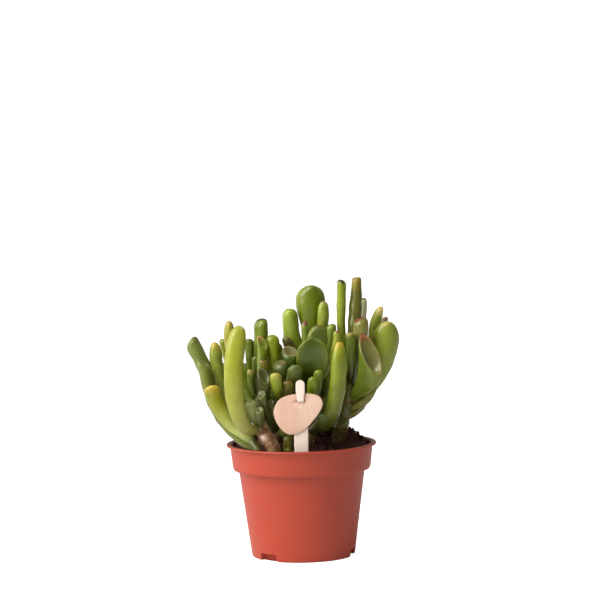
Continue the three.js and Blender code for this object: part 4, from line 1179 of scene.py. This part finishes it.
# %% Label
STICK_WIDTH = 8.4
STICK_THICKNESS = 1
STICK_BOTTOM = 45
SHOULDER_HEIGHT = 92.9
SHOULDER_RISE = 1.5
NECK_WIDTH = 4.1
NECK_TOP = 100
TONGUE_WIDTH = 5.3
TONGUE_TOP = 109.6
STEP_HEIGHT = 2.2
SLOT_HEIGHT = 97.2
SLOT_OPENING = 2
STEP_MIDDLE = 96.4
CARD_THICKNESS = 0.8
CARD_Y = -35
CARD_GAP = 0.3
CARD_RIM = [(-16, 90), (-12.6, 98), (-7, 100.6), (0, 101.3), (7, 101.1), (11.6, 99), (13, 95), (11.2, 90.6),
            (7, 85), (2.2, 80.4), (-3, 77.7), (-7.5, 77.5), (-11.4, 80.3), (-14.6, 85)]
CARD_POINTS = 200
CARD_ROUNDING = 0.2
# The stick is paler than the card, in part painted light for a stick that the card and the leaves shade.
WOOD_COLOURS = {"plain": (232, 192, 168), "band": (240, 204, 182), "fibre": (214, 166, 140),
                "stick": (255, 236, 222), "edge": (196, 152, 116)}


def closed_curve(corners, count):
    """Even points on a closed smooth curve through the corners."""
    corners = np.asarray(corners, float)
    wrapped = np.vstack([corners[-3:], corners, corners[:3]])
    flat = np.column_stack([wrapped, 0 * wrapped[:, 0]])
    steps = np.linalg.norm(np.diff(flat, axis=0), axis=1)
    at = np.concatenate([[0], np.cumsum(steps)]) / steps.sum()
    middle, _ = stem_line(flat, np.linspace(at[3], at[3 + len(corners)], 2000))
    walked = np.concatenate([[0], np.cumsum(np.linalg.norm(np.diff(middle, axis=0), axis=1))])
    even = np.linspace(0, walked[-1], count, endpoint=False)
    return np.column_stack([np.interp(even, walked, middle[:, axis]) for axis in (0, 1)])


def slot_loop(rim):
    """The slot's rounded rectangle, met from its middle in the direction of each point of the rim."""
    middle = np.array([0, SLOT_HEIGHT])
    ray = unit(rim - middle)
    half = np.array([NECK_WIDTH / 2 + CARD_GAP, SLOT_OPENING / 2])
    return middle + ray / ((np.abs(ray / half) ** 8).sum(1) ** (1 / 8))[:, None]


def card_rings():
    """Rings from the slot to the rim on the front, round the edge, back to the slot and through it."""
    rim = closed_curve(CARD_RIM, CARD_POINTS)
    slot = slot_loop(rim)
    normal = unit(np.column_stack([np.gradient(rim[:, 1]), -np.gradient(rim[:, 0])]))
    middle = rim.mean(0)
    normal *= np.sign(((rim - middle) * normal).sum(1))[:, None]
    front = CARD_Y - CARD_THICKNESS / 2
    back = CARD_Y + CARD_THICKNESS / 2
    inset = rim - normal * CARD_ROUNDING
    rows = [(slot + (inset - slot) * share, front) for share in (0.0, 0.25, 0.5, 0.75, 1.0)]
    for surface, sign, turns in ((front, 1, (0.5, 1.1, pi / 2)), (back, -1, (pi / 2, 1.1, 0.5))):
        for turn in turns:
            outline = rim - normal * CARD_ROUNDING * (1 - sin(turn))
            rows.append((outline, surface + sign * CARD_ROUNDING * (1 - cos(turn))))
    rows += [(slot + (inset - slot) * share, back) for share in (1.0, 0.75, 0.5, 0.25, 0.0)]
    rings = [np.column_stack([row[:, 0], np.full(len(row), y), row[:, 1]]) for row, y in rows]
    edge = [0] * 4 + [0.15, 0.5, 1, 1, 1, 1, 0.5, 0.15] + [0] * 4
    return np.array(rings), np.array(edge, float)[:, None]


def stick_half_width(z):
    """Half the stick's width: full below the shoulders, narrow in the slot, and a round-ended tongue."""
    neck, tongue, full = NECK_WIDTH / 2, TONGUE_WIDTH / 2, STICK_WIDTH / 2
    shoulder = smooth((SHOULDER_HEIGHT + SHOULDER_RISE - z) / SHOULDER_RISE)
    flare = smooth((z - NECK_TOP) / 2.5)
    half = neck + (full - neck) * shoulder + (tongue - neck) * flare
    into_end = np.clip((z - (TONGUE_TOP - tongue)) / tongue, 0, 0.999)
    into_foot = np.clip((STICK_BOTTOM + 3 - z) / 3, 0, 1)
    return half * np.sqrt(1 - into_end ** 2) - into_foot


def stick_patch():
    """A flat rounded section carried up the stick, which moves forward where it passes the slot."""
    z = np.concatenate([np.linspace(STICK_BOTTOM, SHOULDER_HEIGHT, 16), np.linspace(93, NECK_TOP, 30),
                        TONGUE_TOP - (TONGUE_TOP - NECK_TOP - 0.2) * np.cos(np.linspace(0, pi / 2, 24))])
    behind = CARD_Y + (CARD_THICKNESS + STICK_THICKNESS) / 2 + CARD_GAP
    ahead = CARD_Y - (CARD_THICKNESS + STICK_THICKNESS) / 2 - CARD_GAP
    forward = smooth((z - STEP_MIDDLE) / STEP_HEIGHT + 0.5)
    y = behind + (ahead - behind) * forward
    half = stick_half_width(z)
    angle = np.linspace(0, 2 * pi, 32, endpoint=False)
    square = (np.abs(np.cos(angle)) ** 10 + np.abs(np.sin(angle)) ** 10) ** (-1 / 10)
    x = half[:, None] * np.cos(angle) * square
    depth = y[:, None] + STICK_THICKNESS / 2 * np.sin(angle) * square
    rings = np.stack([x, depth, np.broadcast_to(z[:, None], x.shape)], -1)
    edge = np.broadcast_to(np.abs(np.cos(angle)) ** 6, x.shape)
    return tube(rings, (0, y[0], z[0]), (0, y[-1], z[-1]), edge=edge, pale=0 * edge + 1)


birch, tree, shader = new_material("birch", 0.62, Specular_IOR_Level=0.3)
place = tree.nodes.new("ShaderNodeTexCoord")
grain_run = node(tree, "Mapping", {"Vector": place.outputs["Object"], "Rotation": (0, radians(62), 0),
                                   "Scale": (1, 1, 0.08)})
fibres = node(tree, "TexNoise", {"Vector": grain_run.outputs[0], "Scale": 1500.0, "Detail": 3.0})
bands = node(tree, "TexNoise", {"Vector": grain_run.outputs[0], "Scale": 240.0, "Detail": 2.0})
plain, band, fibre, light, scorched = (linear(colour) for colour in WOOD_COLOURS.values())
wood = mix(tree, ramp(tree, bands.outputs["Fac"], 0.35, 0.65), plain, band)
wood = mix(tree, times(tree, ramp(tree, fibres.outputs["Fac"], 0.5, 0.7), 0.35), wood, fibre)
# Painted light, in part: the stick is mixed to a paler wood than the card.
wood = mix(tree, times(tree, attribute(tree, "pale"), 0.95), wood, light)
wood = mix(tree, times(tree, attribute(tree, "edge"), 0.5), wood, scorched)
feed(tree, shader, Base_Color=wood)
add_bump(tree, shader, fibres.outputs["Fac"], strength=0.25, distance=0.0002)

rings, edge = card_rings()
make_piece("card_plate", [loop(rings, edge=edge, pale=0 * edge)], birch, ["label_card"])
make_piece("card_stick", [stick_patch()], birch, ["label_stick"])

# %% [markdown]
# ## The floor
# One large white plane, which is not part of the object. It glows for the camera only.

# %% Floor
floor_mesh = bpy.data.meshes.new("floor")
half_floor = FLOOR_SIZE / 2
corners = [(half_floor * x, half_floor * y, 0) for x, y in ((-1, -1), (1, -1), (1, 1), (-1, 1))]
floor_mesh.from_pydata(corners, [], [(0, 1, 2, 3)])
floor = bpy.data.objects.new("floor", floor_mesh)
bpy.context.scene.collection.objects.link(floor)
floor_white, tree, shader = new_material("floor_white", 0.9, Specular_IOR_Level=0.0)
shader.inputs["Base Color"].default_value = (FLOOR_WHITE, FLOOR_WHITE, FLOOR_WHITE, 1)
shader.inputs["Emission Color"].default_value = (1, 1, 1, 1)
seen = tree.nodes.new("ShaderNodeLightPath").outputs["Is Camera Ray"]
feed(tree, shader, Emission_Strength=times(tree, seen, FLOOR_GLOW))
floor_mesh.materials.append(floor_white)
print("floor", FLOOR_SIZE, "m across")
